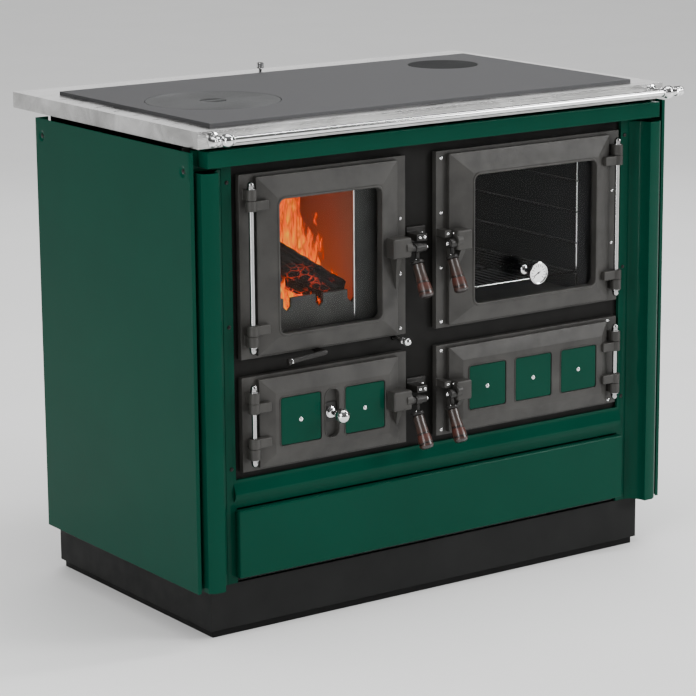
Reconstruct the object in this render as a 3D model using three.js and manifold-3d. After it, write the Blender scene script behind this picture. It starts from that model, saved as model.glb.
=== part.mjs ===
// A wood-fired kitchen range: enamelled cabinet on a plinth, cast-iron hob, firebox and ash doors on the
// left, oven and lower compartment doors on the right, and a drawer for wood underneath.
// Millimetres, +Z up, -Y is the front. Heights are above the floor. Depths are first measured from the
// front edge of the side panels, and the whole group is then centred over the origin.
import * as THREE from 'three';
import { mergeVertices } from 'three/addons/utils/BufferGeometryUtils.js';
import Module from 'manifold-3d';

const wasm = await Module();
wasm.setup();

// ---------------------------------------------------------------- driving dimensions
const GAP = 0.3; // between faces that touch
const RUN = 0.5; // radial clearance of a turning or sliding rod

const body = { width: 992, depth: 501, bottom: 89.5, top: 817.5, sheet: 2, lip: 7 };
const plinth = { width: body.width - 72, front: 20, back: body.depth + 24, wall: 8, stripHeight: 13, stripInset: 6 };
const top = { width: body.width - 24, front: -6, back: body.depth + 100, thickness: 27.5, shadowGap: 5, sheet: 3 };
const hob = { width: body.width - 112, front: 28, back: body.depth + 14, thickness: 20, rise: 6, fit: 0.5, ledge: 12 };
const lids = {
  large: { x: -289, y: 256, r: 115, thickness: 10, recess: 23, recessDepth: 6, bar: 9 },
  small: { x: 306, y: 403, r: 64, thickness: 10, recess: 0 },
  seat: 8,
  fit: 0.8,
};
const front = { nose: -14, frame: 17, frameThickness: 6.7, plateThickness: 3 };
const post = { width: 52, bevel: 10, strip: 19, groove: 9, wall: 2, top: 783 };
const rail = { width: body.width - 50, height: 26.5, sheet: 2 };
const opening = { width: 817, bottom: 265 };
const drawer = {
  width: 824, bottom: 99.5, height: 116, front: 3, frontThickness: 12, depth: 450, wall: 2,
  sideIn: 20, boxRise: 4, boxDrop: 10, margin: 4, guideIn: 14, guideHeight: 40,
};
const sill = { proud: 5.5, top: 262, edge: 246, drop: 10, tail: 226 };

// The door field: an upper and a lower row, a left and a right column. x0 is the end nearer the middle.
const columns = {
  left: { side: -1, x0: 66, width: 331 },
  right: { side: 1, x0: -2, width: 402 },
};
const rows = { upper: { z0: 466, height: 305 }, lower: { z0: 277, height: 159 } };
const flange = { latch: 22, hinge: 28, edge: 5, thickness: 10.7 }; // of a door frame, round its door
const door = { edgeHeight: 8, rise: 7, bead: 2, beadWidth: 4, throughMargin: 8, hollow: 7, hollowEdge: 16 };
// How far each door's sloping border runs in from its hinge side, latch side, top and bottom.
const borders = {
  firebox: { hinge: 40, latch: 38, top: 40, bottom: 32 },
  oven: { hinge: 35, latch: 49, top: 40, bottom: 32 },
  ash: { hinge: 26, latch: 26, top: 26, bottom: 26 },
  lower: { hinge: 26, latch: 26, top: 26, bottom: 26 },
};
const glass = { thickness: 4, overlap: 8 };
const hinge = { inboard: 14, forward: 14, rod: 4.5, knuckle: 9.5, nut: 14, fixed: 18, moving: 17, strap: 31 };
const latch = {
  rise: 151.5, lowerRise: 79, spindle: 6.5, forward: 13, lean: 27, stem: 25,
  gripLength: 60, gripR: 9.5, gripEndR: 12.5, ferruleR: 11.5, ferrule: 5,
};
const catches = { gapAbove: 3, height: 12, lip: 4, baseThickness: 5, baseIn: 6, baseOut: 46, reach: 22 };

const shell = { wall: 3, brick: 25, fireboxBack: body.depth - 46, ovenBack: body.depth - 21, smokeGap: 47, brickSetBack: 14 };
const grate = { pitch: 22, slot: 5, thickness: 9, slotFront: 110, slotBack: 350, rim: 20, throat: 50 };
const retainer = { rise: 87, thickness: 5, setOut: 8, notch: 7, notchDepth: 15 };
const runners = { clear: 2.5, front: 80, back: 430, tail: 15, rise: 22, height: 235, pitch: 56, count: 4 };
const flue = { x: -10, z: 700, r: 75, wall: 3, length: 72, flange: 16, sides: 32 };
const damper = { y: body.depth + 35, rod: 3, knob: 7, travel: 45, gateHalf: 45, gateThickness: 2 };
const guard = { rod: 6, z: 840, forward: 44, bracketX: 457, ball: 12, capR: 9, capLength: 20, reach: 490 };
const knobs = {
  airX: -84, airZ: 459.5, airR: 4, airBall: 8, airReach: 39, airTail: 40,
  leverX: -242, leverZ: 461, leverLength: 72, leverR: 4.5, leverForward: 26, leverTilt: 5,
};
const ashAir = { width: 32, height: 88, depth: 9, slotWidth: 18, slotHeight: 60, ball: 13, reach: 38, slide: 56, rosette: 10 };
const dial = { x: 186, z: 547, r: 20, forward: 24, thickness: 8 };
const rack = { z: 513, wire: 2, pitch: 25, front: 70, back: 440 };
const ashPan = { setBack: 59, side: 5, rear: 17, height: 88 };

// ---------------------------------------------------------------- derived places
const halfBody = body.width / 2;
const topUnder = body.top + top.shadowGap;
const topFace = topUnder + top.thickness;
const frameBack = front.frame + front.frameThickness;
const plateFront = frameBack + GAP;
const plateBack = plateFront + front.plateThickness;
const flangeFront = plateFront - GAP - flange.thickness;
const doorBack = flangeFront - GAP;
const doorEdge = flangeFront - door.edgeHeight;
const doorFace = doorEdge - door.rise;
const hingeY = flangeFront - hinge.forward;
const railFront = top.front - guard.forward;
const yShift = -(railFront - guard.ball + top.back) / 2;

// ---------------------------------------------------------------- shapes
const CIRCLE = 20;

/** A block between two corners. */
function block(x0, x1, y0, y1, z0, z1) {
  const geometry = new THREE.BoxGeometry(x1 - x0, y1 - y0, z1 - z0);
  return geometry.translate((x0 + x1) / 2, (y0 + y1) / 2, (z0 + z1) / 2);
}

function outline(points) {
  return new THREE.Shape(points.map(([a, b]) => new THREE.Vector2(a, b)));
}

/** An XY outline raised from z0 to z1. */
function prismZ(points, z0, z1) {
  return new THREE.ExtrudeGeometry(outline(points), { depth: z1 - z0, bevelEnabled: false }).translate(0, 0, z0);
}

/** A YZ outline run from x0 to x1. */
function prismX(points, x0, x1) {
  const geometry = new THREE.ExtrudeGeometry(outline(points), { depth: x1 - x0, bevelEnabled: false });
  const turn = new THREE.Matrix4().makeBasis(
    new THREE.Vector3(0, 1, 0), new THREE.Vector3(0, 0, 1), new THREE.Vector3(1, 0, 0));
  return geometry.applyMatrix4(turn).translate(x0, 0, 0);
}

/** An XZ outline run from y0 to y1. */
function prismY(points, y0, y1) {
  const geometry = new THREE.ExtrudeGeometry(outline(points), { depth: y1 - y0, bevelEnabled: false });
  return geometry.rotateX(Math.PI / 2).translate(0, y1, 0);
}

/** A block between y0 and y1 whose front face is a smaller rectangle than its back face. */
function tapered(back, face, y0, y1) {
  const geometry = new THREE.BoxGeometry(1, 1, 1);
  const at = geometry.attributes.position;
  for (let i = 0; i < at.count; i += 1) {
    const side = at.getY(i) < 0 ? face : back;
    at.setXYZ(i, at.getX(i) < 0 ? side.x0 : side.x1, at.getY(i) < 0 ? y0 : y1, at.getZ(i) < 0 ? side.z0 : side.z1);
  }
  return geometry;
}

/** A round bar along an axis, from a to b along it, with its centre line at the two other coordinates. */
function bar(axis, r, a, b, u, v, segments = CIRCLE) {
  const geometry = new THREE.CylinderGeometry(r, r, b - a, segments);
  const middle = (a + b) / 2;
  if (axis === 'x') return geometry.rotateZ(Math.PI / 2).translate(middle, u, v);
  if (axis === 'y') return geometry.translate(u, middle, v);
  return geometry.rotateX(Math.PI / 2).translate(u, v, middle);
}

function ball(r, x, y, z) {
  return new THREE.SphereGeometry(r, 14, 8).translate(x, y, z);
}

/** A turned piece from [radius, height] points, its axis along +Z from the origin. */
function turned(points, segments = CIRCLE) {
  const profile = points.map(([r, h]) => new THREE.Vector2(r, h));
  return new THREE.LatheGeometry(profile, segments).rotateX(Math.PI / 2);
}

function solid(geometry) {
  const bare = geometry.clone();
  bare.deleteAttribute('normal');
  bare.deleteAttribute('uv');
  const merged = mergeVertices(bare, 1e-3);
  const mesh = new wasm.Mesh({
    numProp: 3,
    vertProperties: Float32Array.from(merged.attributes.position.array),
    triVerts: Uint32Array.from(merged.index.array),
  });
  return new wasm.Manifold(mesh);
}

function geometryOf(manifold) {
  const mesh = manifold.getMesh();
  const geometry = new THREE.BufferGeometry();
  geometry.setAttribute('position', new THREE.BufferAttribute(mesh.vertProperties, 3));
  geometry.setIndex(new THREE.BufferAttribute(mesh.triVerts, 1));
  return geometry;
}

/** The first shapes joined, less the cuts. */
function build(shapes, cuts = []) {
  const whole = shapes.map(solid).reduce((all, next) => all.add(next));
  return geometryOf(cuts.map(solid).reduce((all, next) => all.subtract(next), whole));
}

/** An open box: walls round four sides and a floor, open towards the named side. */
function openBox(x0, x1, y0, y1, z0, z1, wall, open) {
  const reach = 5;
  const inner = { x0: x0 + wall, x1: x1 - wall, y0: y0 + wall, y1: y1 - wall, z0: z0 + wall, z1: z1 - wall };
  if (open.includes('front')) inner.y0 = y0 - reach;
  if (open.includes('top')) inner.z1 = z1 + reach;
  return build([block(x0, x1, y0, y1, z0, z1)],
    [block(inner.x0, inner.x1, inner.y0, inner.y1, inner.z0, inner.z1)]);
}

// ---------------------------------------------------------------- finishes
const finish = (color, roughness, metalness) => new THREE.MeshStandardMaterial({ color, roughness, metalness });
const ENAMEL = finish(0x12503c, 0.15, 0.1);
const CAST = finish(0x4a4845, 0.6, 0.4);
const BLACK = finish(0x1b1a17, 0.6, 0.3);
const GREY = finish(0x484a49, 0.5, 0.3);
const STEEL = finish(0xc9cbcc, 0.35, 0.9);
const CHROME = finish(0xe4e6e8, 0.1, 1);
const HOB = finish(0x2b2c2e, 0.7, 0.5);
const WOOD = finish(0x6d3f33, 0.55, 0);
const BRICK = finish(0x9a4a2a, 0.9, 0);
const GLASS = new THREE.MeshStandardMaterial({ color: 0x202428, transparent: true, opacity: 0.35 });

const range = new THREE.Group();

function place(name, geometry, material) {
  const mesh = new THREE.Mesh(geometry, material);
  mesh.name = name;
  range.add(mesh);
  return mesh;
}

// ---------------------------------------------------------------- cabinet
function buildPlinth() {
  const half = plinth.width / 2;
  const zTop = body.bottom - GAP;
  const stripOut = plinth.stripInset;
  const stripIn = plinth.stripInset + plinth.wall;
  const overlap = 1;
  const { front: y0, back: y1, wall, stripHeight } = plinth;
  place('plinth', build([
    block(-half, half, y0, y1, stripHeight, zTop),
    block(-half + stripOut, half - stripOut, y0 + stripOut, y1 - stripOut, 0, stripHeight + overlap),
  ], [
    block(-half + wall, half - wall, y0 + wall, y1 - wall, stripHeight + overlap, zTop + overlap),
    block(-half + stripIn, half - stripIn, y0 + stripIn, y1 - stripIn, -overlap, stripHeight + 2 * overlap),
  ]), GREY);
}

function buildBasePan() {
  const half = halfBody - body.sheet - GAP;
  const z0 = body.bottom;
  const z1 = z0 + body.sheet;
  const guideX = drawer.width / 2 - drawer.guideIn;
  const guides = [-1, 1].map((s) => block(
    s * guideX - 1, s * guideX + 1, plateBack + 20, body.depth - 30, z1 - 1, z1 + drawer.guideHeight));
  const cover = block(-plinth.width / 2, plinth.width / 2, body.depth - 15, plinth.back, z0, z1);
  const pan = block(-half, half, plateBack + GAP, body.depth - 10, z0, z1);
  place('base_pan', build([pan, cover, ...guides]), GREY);
}

function buildSidePanel(name, side) {
  const { sheet, lip, depth } = body;
  const outer = halfBody;
  const rearLip = 25;
  const points = [
    [outer, 0], [outer, depth], [outer - rearLip, depth], [outer - rearLip, depth - sheet],
    [outer - sheet, depth - sheet], [outer - sheet, sheet], [outer - lip, sheet], [outer - lip, 0],
  ].map(([x, y]) => [side * x, y]);
  place(name, prismZ(side > 0 ? points : points.reverse(), body.bottom, body.top), ENAMEL);
}

/** The plan section of a corner post, inset by w: outer side, bevel, front strip and the cove to the frame. */
function postProfile(w) {
  const outer = halfBody - body.lip - post.groove;
  const inner = outer - post.width;
  const stripIn = outer - post.bevel - post.strip;
  const rx = stripIn - inner + w;
  const ry = front.frame - front.nose + w;
  const points = [
    [outer - w, frameBack],
    [outer - w, front.nose + post.bevel * 0.7 + w * 0.4],
    [outer - post.bevel - w * 0.4, front.nose + w],
    [stripIn + w, front.nose + w],
  ];
  const steps = 7;
  for (let i = 1; i <= steps; i += 1) {
    const t = (Math.PI / 2) * (1 - i / steps);
    points.push([inner + rx * Math.sin(t), front.nose + ry * Math.cos(t)]);
  }
  return points;
}

function buildPost(name, side) {
  const ring = [...postProfile(0), ...postProfile(post.wall).reverse()].map(([x, y]) => [side * x, y]);
  const points = side > 0 ? ring.reverse() : ring;
  place(name, prismZ(points, body.bottom, post.top), ENAMEL);
}

function buildFrontFrame() {
  const postInner = halfBody - body.lip - post.groove - post.width;
  const half = postInner - GAP;
  const wide = halfBody - body.lip - post.groove;
  const railBottom = body.top - rail.height;
  const y0 = front.frame;
  const y1 = frameBack;
  const past = 5;
  const sillHalf = opening.width / 2 + 5;
  const drawerTop = drawer.bottom + drawer.height;
  const moulding = [
    [y0 + 1, sill.top], [y0 - sill.proud + 1, sill.edge], [y0 - sill.proud, sill.edge - 3],
    [y0 - sill.proud, sill.edge - sill.drop], [y0 + 1, sill.tail],
  ];
  place('front_frame', build([
    block(-half, half, y0, y1, body.bottom, post.top + 1),
    block(-wide, wide, y0, y1, post.top + GAP, body.top),
    prismX(moulding, -sillHalf, sillHalf),
  ], [
    block(-opening.width / 2, opening.width / 2, y0 - past, y1 + past, opening.bottom, railBottom + 5),
    block(-drawer.width / 2 + drawer.margin, drawer.width / 2 - drawer.margin,
      y0 - past - 10, y1 + past, body.bottom - past, drawerTop + 2),
  ]), ENAMEL);
}

function buildTopRail() {
  const { sheet } = rail;
  const z0 = body.top - rail.height;
  const z1 = body.top;
  const y0 = front.nose;
  const y1 = front.frame - GAP;
  const half = rail.width / 2;
  const channel = [
    [y1, z0], [y1, z0 + sheet], [y0 + sheet, z0 + sheet], [y0 + sheet, z1 - sheet],
    [y1, z1 - sheet], [y1, z1], [y0, z1], [y0, z0],
  ];
  place('top_rail', build([
    prismX(channel.reverse(), -half, half),
    block(-half, -half + sheet, y0, y1, z0, z1),
    block(half - sheet, half, y0, y1, z0, z1),
  ]), ENAMEL);
}

// ---------------------------------------------------------------- door field
/** The place of one door frame: x0..x1 and z0..z1, and which end its hinge is at. */
function fieldOf(columnName, rowName) {
  const column = columns[columnName];
  const row = rows[rowName];
  const { side } = column;
  const ends = [side * column.x0, side * (column.x0 + column.width)].sort((a, b) => a - b);
  const hingeEnd = side > 0 ? ends[1] : ends[0];
  const latchEnd = side > 0 ? ends[0] : ends[1];
  const doorEnds = [hingeEnd - side * flange.hinge, latchEnd + side * flange.latch].sort((a, b) => a - b);
  const margin = door.throughMargin;
  return {
    side, x0: ends[0], x1: ends[1], z0: row.z0, z1: row.z0 + row.height, hingeEnd, latchEnd,
    doorX0: doorEnds[0], doorX1: doorEnds[1],
    doorZ0: row.z0 + flange.edge, doorZ1: row.z0 + row.height - flange.edge,
    holeX0: doorEnds[0] + margin, holeX1: doorEnds[1] - margin,
    holeZ0: row.z0 + flange.edge + margin, holeZ1: row.z0 + row.height - flange.edge - margin,
    hingeX: hingeEnd - side * hinge.inboard,
  };
}

const fields = {
  firebox: fieldOf('left', 'upper'),
  ash: fieldOf('left', 'lower'),
  oven: fieldOf('right', 'upper'),
  lower: fieldOf('right', 'lower'),
};

function buildFrontPlate() {
  const half = halfBody - body.sheet - GAP;
  const past = 5;
  const holes = Object.values(fields).map((f) => block(
    f.holeX0, f.holeX1, plateFront - past, plateBack + past, f.holeZ0, f.holeZ1));
  const airHole = bar('y', knobs.airR + RUN, plateFront - past, plateBack + past, knobs.airX, knobs.airZ);
  const leverHole = bar('y', knobs.leverR + RUN, plateFront - past, plateBack + past, knobs.leverX, knobs.leverZ);
  const drawerHalf = drawer.width / 2 - drawer.margin;
  const drawerHole = block(-drawerHalf, drawerHalf, plateFront - past, plateBack + past,
    body.bottom - past, drawer.bottom + drawer.height + 2);
  place('front_plate', build(
    [block(-half, half, plateFront, plateBack, body.bottom, topUnder - GAP)],
    [...holes, airHole, leverHole, drawerHole]), BLACK);
}

/** Heights of one hinge's knuckles, from the top: fixed, moving, then the lower moving and fixed. */
function hingeHeights(f) {
  const end = 23;
  const { fixed, moving } = hinge;
  const lift = 0.5;
  return {
    topFixed: [f.z1 - end - fixed, f.z1 - end],
    topMoving: [f.z1 - end - fixed - lift - moving, f.z1 - end - fixed - lift],
    lowFixed: [f.z0 + end, f.z0 + end + fixed],
    lowMoving: [f.z0 + end + fixed + lift, f.z0 + end + fixed + lift + moving],
  };
}

function buildDoorFrame(name, f, catchOnFlange) {
  const heights = hingeHeights(f);
  const past = 5;
  const shapes = [block(f.x0, f.x1, flangeFront, flangeFront + flange.thickness, f.z0, f.z1)];
  const cuts = [block(f.holeX0, f.holeX1, flangeFront - past, plateFront + past, f.holeZ0, f.holeZ1)];
  for (const [z0, z1] of [heights.topFixed, heights.lowFixed]) {
    shapes.push(bar('z', hinge.knuckle, z0, z1, f.hingeX, hingeY));
    shapes.push(block(f.hingeX - 7, f.hingeX + 7, hingeY, flangeFront + 1, z0, z1));
  }
  cuts.push(bar('z', hinge.rod + RUN, f.z0, f.z1, f.hingeX, hingeY));
  if (catchOnFlange) {
    const c = catchPlace(f);
    shapes.push(block(f.latchEnd + f.side, c.latchX, c.lipFront, flangeFront + 1, c.z0, c.z1));
  }
  place(name, build(shapes, cuts), CAST);
}

function buildHingeRod(name, f) {
  const heights = hingeHeights(f);
  const half = hinge.nut / 2;
  const topZ = heights.topFixed[1] + GAP;
  const lowZ = heights.lowFixed[0] - GAP;
  place(name, build([
    bar('z', hinge.rod, lowZ - 2, topZ + 2, f.hingeX, hingeY, 12),
    bar('z', half, topZ, topZ + 7, f.hingeX, hingeY, 6),
    ball(half * 0.8, f.hingeX, hingeY, topZ + 7),
    bar('z', half, lowZ - 7, lowZ, f.hingeX, hingeY, 6),
    ball(half * 0.8, f.hingeX, hingeY, lowZ - 7),
  ]), CHROME);
}

/** A latch's spindle axis, its lug on the door, the handle's stem and the reach of the free end. */
function latchPlace(f, upper) {
  const { side } = f;
  const doorEnd = f.latchEnd + side * flange.latch;
  const onFlange = side > 0;
  return {
    side,
    z: f.z0 + (upper ? latch.rise : latch.lowerRise),
    y: doorFace - latch.forward,
    lug: [doorEnd + side * 31, doorEnd - side * (onFlange ? 3 : 9)].sort((a, b) => a - b),
    stemX: doorEnd - side * (onFlange ? 9 : 26),
    tipX: doorEnd - side * (onFlange ? 18 : 43),
    inner: doorEnd + side * 28,
  };
}

function catchPlace(f) {
  const upper = f.z0 === rows.upper.z0;
  const l = latchPlace(f, upper);
  const z0 = l.z + latch.spindle + catches.gapAbove;
  return { z0, z1: z0 + catches.height, lipFront: l.y + catches.lip, latchX: f.latchEnd + f.side * 15 };
}

function buildDoor(name, f, window) {
  const upper = f.z0 === rows.upper.z0;
  const heights = hingeHeights(f);
  const border = borders[name.replace('_door', '')];
  const [leftIn, rightIn] = f.side < 0 ? [border.hinge, border.latch] : [border.latch, border.hinge];
  const outer = { x0: f.doorX0, x1: f.doorX1, z0: f.doorZ0, z1: f.doorZ1 };
  const w = { x0: outer.x0 + leftIn, x1: outer.x1 - rightIn, z0: outer.z0 + border.bottom, z1: outer.z1 - border.top };
  const shapes = [
    block(outer.x0, outer.x1, doorEdge, doorBack, outer.z0, outer.z1),
    tapered(outer, w, doorFace, doorEdge),
  ];
  const past = 60;
  const cuts = [];
  if (window) {
    const bead = door.beadWidth;
    shapes.push(block(w.x0 - bead, w.x1 + bead, doorFace - door.bead, doorFace + 1, w.z0 - bead, w.z1 + bead));
    cuts.push(block(w.x0, w.x1, doorFace - past, doorBack + past, w.z0, w.z1));
    const lap = glass.overlap + GAP;
    const rebate = glass.thickness + 1;
    cuts.push(block(w.x0 - lap, w.x1 + lap, doorBack - rebate, doorBack + past, w.z0 - lap, w.z1 + lap));
  }
  for (const [z0, z1] of [heights.topMoving, heights.lowMoving]) {
    shapes.push(bar('z', hinge.knuckle, z0, z1, f.hingeX, hingeY));
    const ends = [f.hingeX, f.hingeX - f.side * hinge.strap].sort((a, b) => a - b);
    shapes.push(block(ends[0], ends[1], hingeY - 5, doorEdge + 2, z0, z1));
  }
  cuts.push(bar('z', hinge.rod + RUN, f.doorZ0, f.doorZ1, f.hingeX, hingeY));
  const l = latchPlace(f, upper);
  shapes.push(block(l.lug[0], l.lug[1], l.y - 10, doorEdge + 2, l.z - 14, l.z + 24));
  cuts.push(bar('x', latch.spindle + RUN, Math.min(l.inner, l.tipX), Math.max(l.inner, l.tipX), l.y, l.z));
  if (!window) {
    const edge = door.hollowEdge;
    const deep = doorBack - door.hollow;
    const middle = (f.doorX0 + f.doorX1) / 2;
    const web = name === 'ash_door' ? ashAir.width / 2 + 4 : 3;
    for (const [a, b] of [[f.doorX0 + edge, middle - web], [middle + web, f.doorX1 - edge]]) {
      cuts.push(block(a, b, deep, doorBack + past, f.doorZ0 + edge, f.doorZ1 - edge));
    }
  }
  if (name === 'ash_door') {
    const x = (f.doorX0 + f.doorX1) / 2;
    const z = (f.doorZ0 + f.doorZ1) / 2;
    const { width, height, depth, slotWidth, slotHeight } = ashAir;
    cuts.push(
      block(x - width / 2, x + width / 2, doorFace - past, doorFace + depth, z - height / 2, z + height / 2),
      block(x - slotWidth / 2, x + slotWidth / 2, doorFace - past, doorBack + past, z - slotHeight / 2, z + slotHeight / 2));
  }
  place(name, build(shapes, cuts), CAST);
  if (window) {
    const lap = glass.overlap;
    place(name.replace('door', 'glass'), block(w.x0 - lap, w.x1 + lap, doorBack - GAP - glass.thickness,
      doorBack - GAP, w.z0 - lap, w.z1 + lap), GLASS);
  }
}

function buildLatch(name, f) {
  const l = latchPlace(f, f.z0 === rows.upper.z0);
  const free = 0.6;
  const span = [l.inner - l.side * free, l.tipX].sort((a, b) => a - b);
  const lean = THREE.MathUtils.degToRad(latch.lean);
  const drop = latch.stem;
  const ferrule = new THREE.CylinderGeometry(latch.ferruleR, latch.ferruleR, latch.ferrule, CIRCLE).rotateX(Math.PI / 2);
  ferrule.rotateX(-lean).translate(l.stemX, l.y, l.z - drop);
  place(`${name}_latch`, build([
    bar('x', latch.spindle, span[0], span[1], l.y, l.z),
    bar('x', 3, Math.min(l.tipX, l.tipX - l.side * 5), Math.max(l.tipX, l.tipX - l.side * 5), l.y, l.z, 10),
    bar('z', 3.5, l.z - drop, l.z, l.stemX, l.y, 12),
    ferrule,
  ]), CAST);
  const { gripLength: h, gripR: r0, gripEndR: r1 } = latch;
  const profile = [
    [0, 0], [r0, 0], [r0 + 0.4, -h * 0.3], [r1, -h * 0.85], [r1, -h * 0.93], [r1 - 3, -h], [0, -h],
  ];
  const grip = turned(profile.reverse());
  grip.translate(0, 0, -latch.ferrule / 2 - GAP).rotateX(-lean).translate(l.stemX, l.y, l.z - drop);
  place(`${name}_grip`, build([grip]), WOOD);
}

function buildCatch(name, f) {
  const c = catchPlace(f);
  const x0 = f.latchEnd + catches.baseIn;
  const x1 = f.latchEnd + catches.baseOut;
  const baseY = plateFront - GAP;
  place(name, build([
    block(x0, x1, baseY - catches.baseThickness, baseY, c.z0 - 6, c.z1 + 8),
    block(x0, x0 + catches.reach, c.lipFront, baseY - 1, c.z0, c.z1),
  ]), CAST);
}

function buildDoorField() {
  for (const [name, f] of Object.entries(fields)) {
    const upper = f.z0 === rows.upper.z0;
    buildDoorFrame(`${name}_door_frame`, f, f.side > 0);
    buildHingeRod(`${name}_hinge_rod`, f);
    buildDoor(`${name}_door`, f, upper);
    buildLatch(name, f);
    if (f.side < 0) buildCatch(`${name}_catch`, f);
  }
}

// ---------------------------------------------------------------- inside
/** The slim shell behind one frame's hole. */
function buildShell(name, f, z0, z1, back, open) {
  const { wall } = shell;
  place(name, openBox(f.holeX0 - wall - 1, f.holeX1 + wall + 1, plateBack + GAP, back, z0, z1, wall, open), BLACK);
}

function buildInside() {
  const { firebox, ash, oven, lower } = fields;
  const middle = (rows.lower.z0 + rows.lower.height + rows.upper.z0) / 2 + 8;
  const { wall, brick } = shell;
  const grateHole = block(firebox.holeX0 + grate.throat, firebox.holeX1 - grate.throat,
    grate.slotFront - 10, grate.slotBack + 10, middle - 5, middle + wall + 5);
  const shellBox = openBox(firebox.holeX0 - wall - 1, firebox.holeX1 + wall + 1, plateBack + GAP,
    shell.fireboxBack, middle, topUnder - shell.smokeGap, wall, ['front', 'top']);
  place('firebox_casing', build([shellBox], [grateHole]), BLACK);
  buildShell('ash_chamber', ash, ash.holeZ0 - wall, middle - GAP, shell.fireboxBack, ['front', 'top']);
  for (const [name, f] of [['oven_box', oven], ['lower_compartment', lower]]) {
    buildShell(name, f, f.holeZ0 - wall - 2, f.holeZ1 + wall + 2, shell.ovenBack, ['front']);
  }

  const x0 = firebox.holeX0 - 1 + GAP;
  const x1 = firebox.holeX1 + 1 - GAP;
  const y0 = plateBack + GAP + shell.brickSetBack;
  const y1 = shell.fireboxBack - wall - GAP;
  const z0 = middle + wall + GAP;
  const z1 = topUnder - shell.smokeGap;
  place('firebrick_lining', build([block(x0, x1, y0, y1, z0, z1)],
    [block(x0 + brick, x1 - brick, y0 - 5, y1 - brick, z0 - 5, z1 + 5)]), BRICK);
  const slots = [];
  const gx0 = x0 + brick + 1;
  const gx1 = x1 - brick - 1;
  for (let x = gx0 + grate.pitch; x < gx1 - grate.rim; x += grate.pitch) {
    slots.push(block(x - grate.slot, x + grate.slot, grate.slotFront, grate.slotBack, z0 - 5, z0 + grate.thickness + 5));
  }
  place('grate', build([block(gx0, gx1, y0 + 10, y1 - brick - 1, z0, z0 + grate.thickness)], slots), CAST);

  const retainerTop = rows.upper.z0 + retainer.rise;
  const { notch: n, notchDepth, setOut, thickness } = retainer;
  const notches = [0.2, 0.5, 0.8].map((t) => {
    const x = gx0 + (gx1 - gx0) * t;
    const low = retainerTop - notchDepth;
    return prismY([[x - n, low], [x, low - n], [x + n, low], [x + n, retainerTop + 5], [x - n, retainerTop + 5]],
      y0 - setOut - 5, y0 + 5);
  });
  place('log_retainer', build(
    [block(x0 + 2, x1 - 2, y0 - setOut, y0 - setOut + thickness, z0 + GAP, retainerTop)], notches), CAST);
}

function buildAshPan() {
  const f = fields.ash;
  const y0 = plateBack + ashPan.setBack;
  const z0 = f.holeZ0 + GAP;
  place('ash_pan', openBox(f.holeX0 + ashPan.side, f.holeX1 - ashPan.side, y0,
    shell.fireboxBack - ashPan.rear, z0, z0 + ashPan.height, 2, ['top']), STEEL);
}

function wireX(x0, x1, y, z) {
  return bar('x', rack.wire, x0, x1, y, z, 8);
}

function buildOvenFittings() {
  const f = fields.oven;
  const x0 = f.holeX0 + 10;
  const x1 = f.holeX1 - 10;
  const cross = [];
  for (let x = x0 + rack.pitch; x < x1 - rack.pitch / 2; x += rack.pitch) {
    cross.push(bar('y', rack.wire * 0.8, rack.front, rack.back, x, rack.z + 1, 6));
  }
  place('oven_rack', build([
    wireX(x0, x1, rack.front, rack.z), wireX(x0, x1, rack.back, rack.z),
    bar('y', rack.wire, rack.front, rack.back, x0, rack.z, 8),
    bar('y', rack.wire, rack.front, rack.back, x1, rack.z, 8), ...cross,
  ]), CHROME);

  const shapes = [];
  const sideX = [f.holeX0 + runners.clear, f.holeX1 - runners.clear];
  const bottom = rows.upper.z0 + runners.rise;
  const topZ = bottom + runners.height;
  const tailY = runners.back + runners.tail - 2;
  for (const x of sideX) {
    for (const y of [runners.front, runners.back, tailY]) shapes.push(bar('z', rack.wire, bottom, topZ, x, y, 6));
    for (let i = 0; i < runners.count; i += 1) {
      shapes.push(bar('y', rack.wire, runners.front - 5, tailY + 3.5, x, rack.z - 6 + i * runners.pitch, 6));
    }
  }
  for (const z of [bottom + 4, topZ - 4]) shapes.push(wireX(sideX[0] - 1, sideX[1] + 1, tailY, z));
  place('oven_runners', build(shapes), CHROME);
}

function buildDrawer() {
  const half = drawer.width / 2;
  const z0 = drawer.bottom;
  const z1 = z0 + drawer.height;
  const y1 = drawer.front + drawer.frontThickness;
  const wall = drawer.wall;
  place('wood_drawer_front', build([block(-half, half, drawer.front, y1, z0, z1)],
    [block(-half + wall, half - wall, drawer.front + wall, y1 + 5, z0 + wall, z1 - wall)]), ENAMEL);
  const boxHalf = half - drawer.sideIn;
  place('wood_drawer_box', openBox(-boxHalf, boxHalf, drawer.front + wall + GAP, drawer.front + drawer.depth,
    z0 + drawer.boxRise, z1 - drawer.boxDrop, wall, ['top']), GREY);
}

function buildBackPanel() {
  const half = halfBody - 25 - 1;
  const y0 = body.depth - 9;
  const hole = bar('y', flue.r + 1, y0 - 5, y0 + 10, flue.x, flue.z, flue.sides);
  const sheet = block(-half, half, y0, y0 + body.sheet, body.bottom + body.sheet + GAP, topUnder - GAP);
  place('back_panel', build([sheet], [hole]), BLACK);
}

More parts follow.
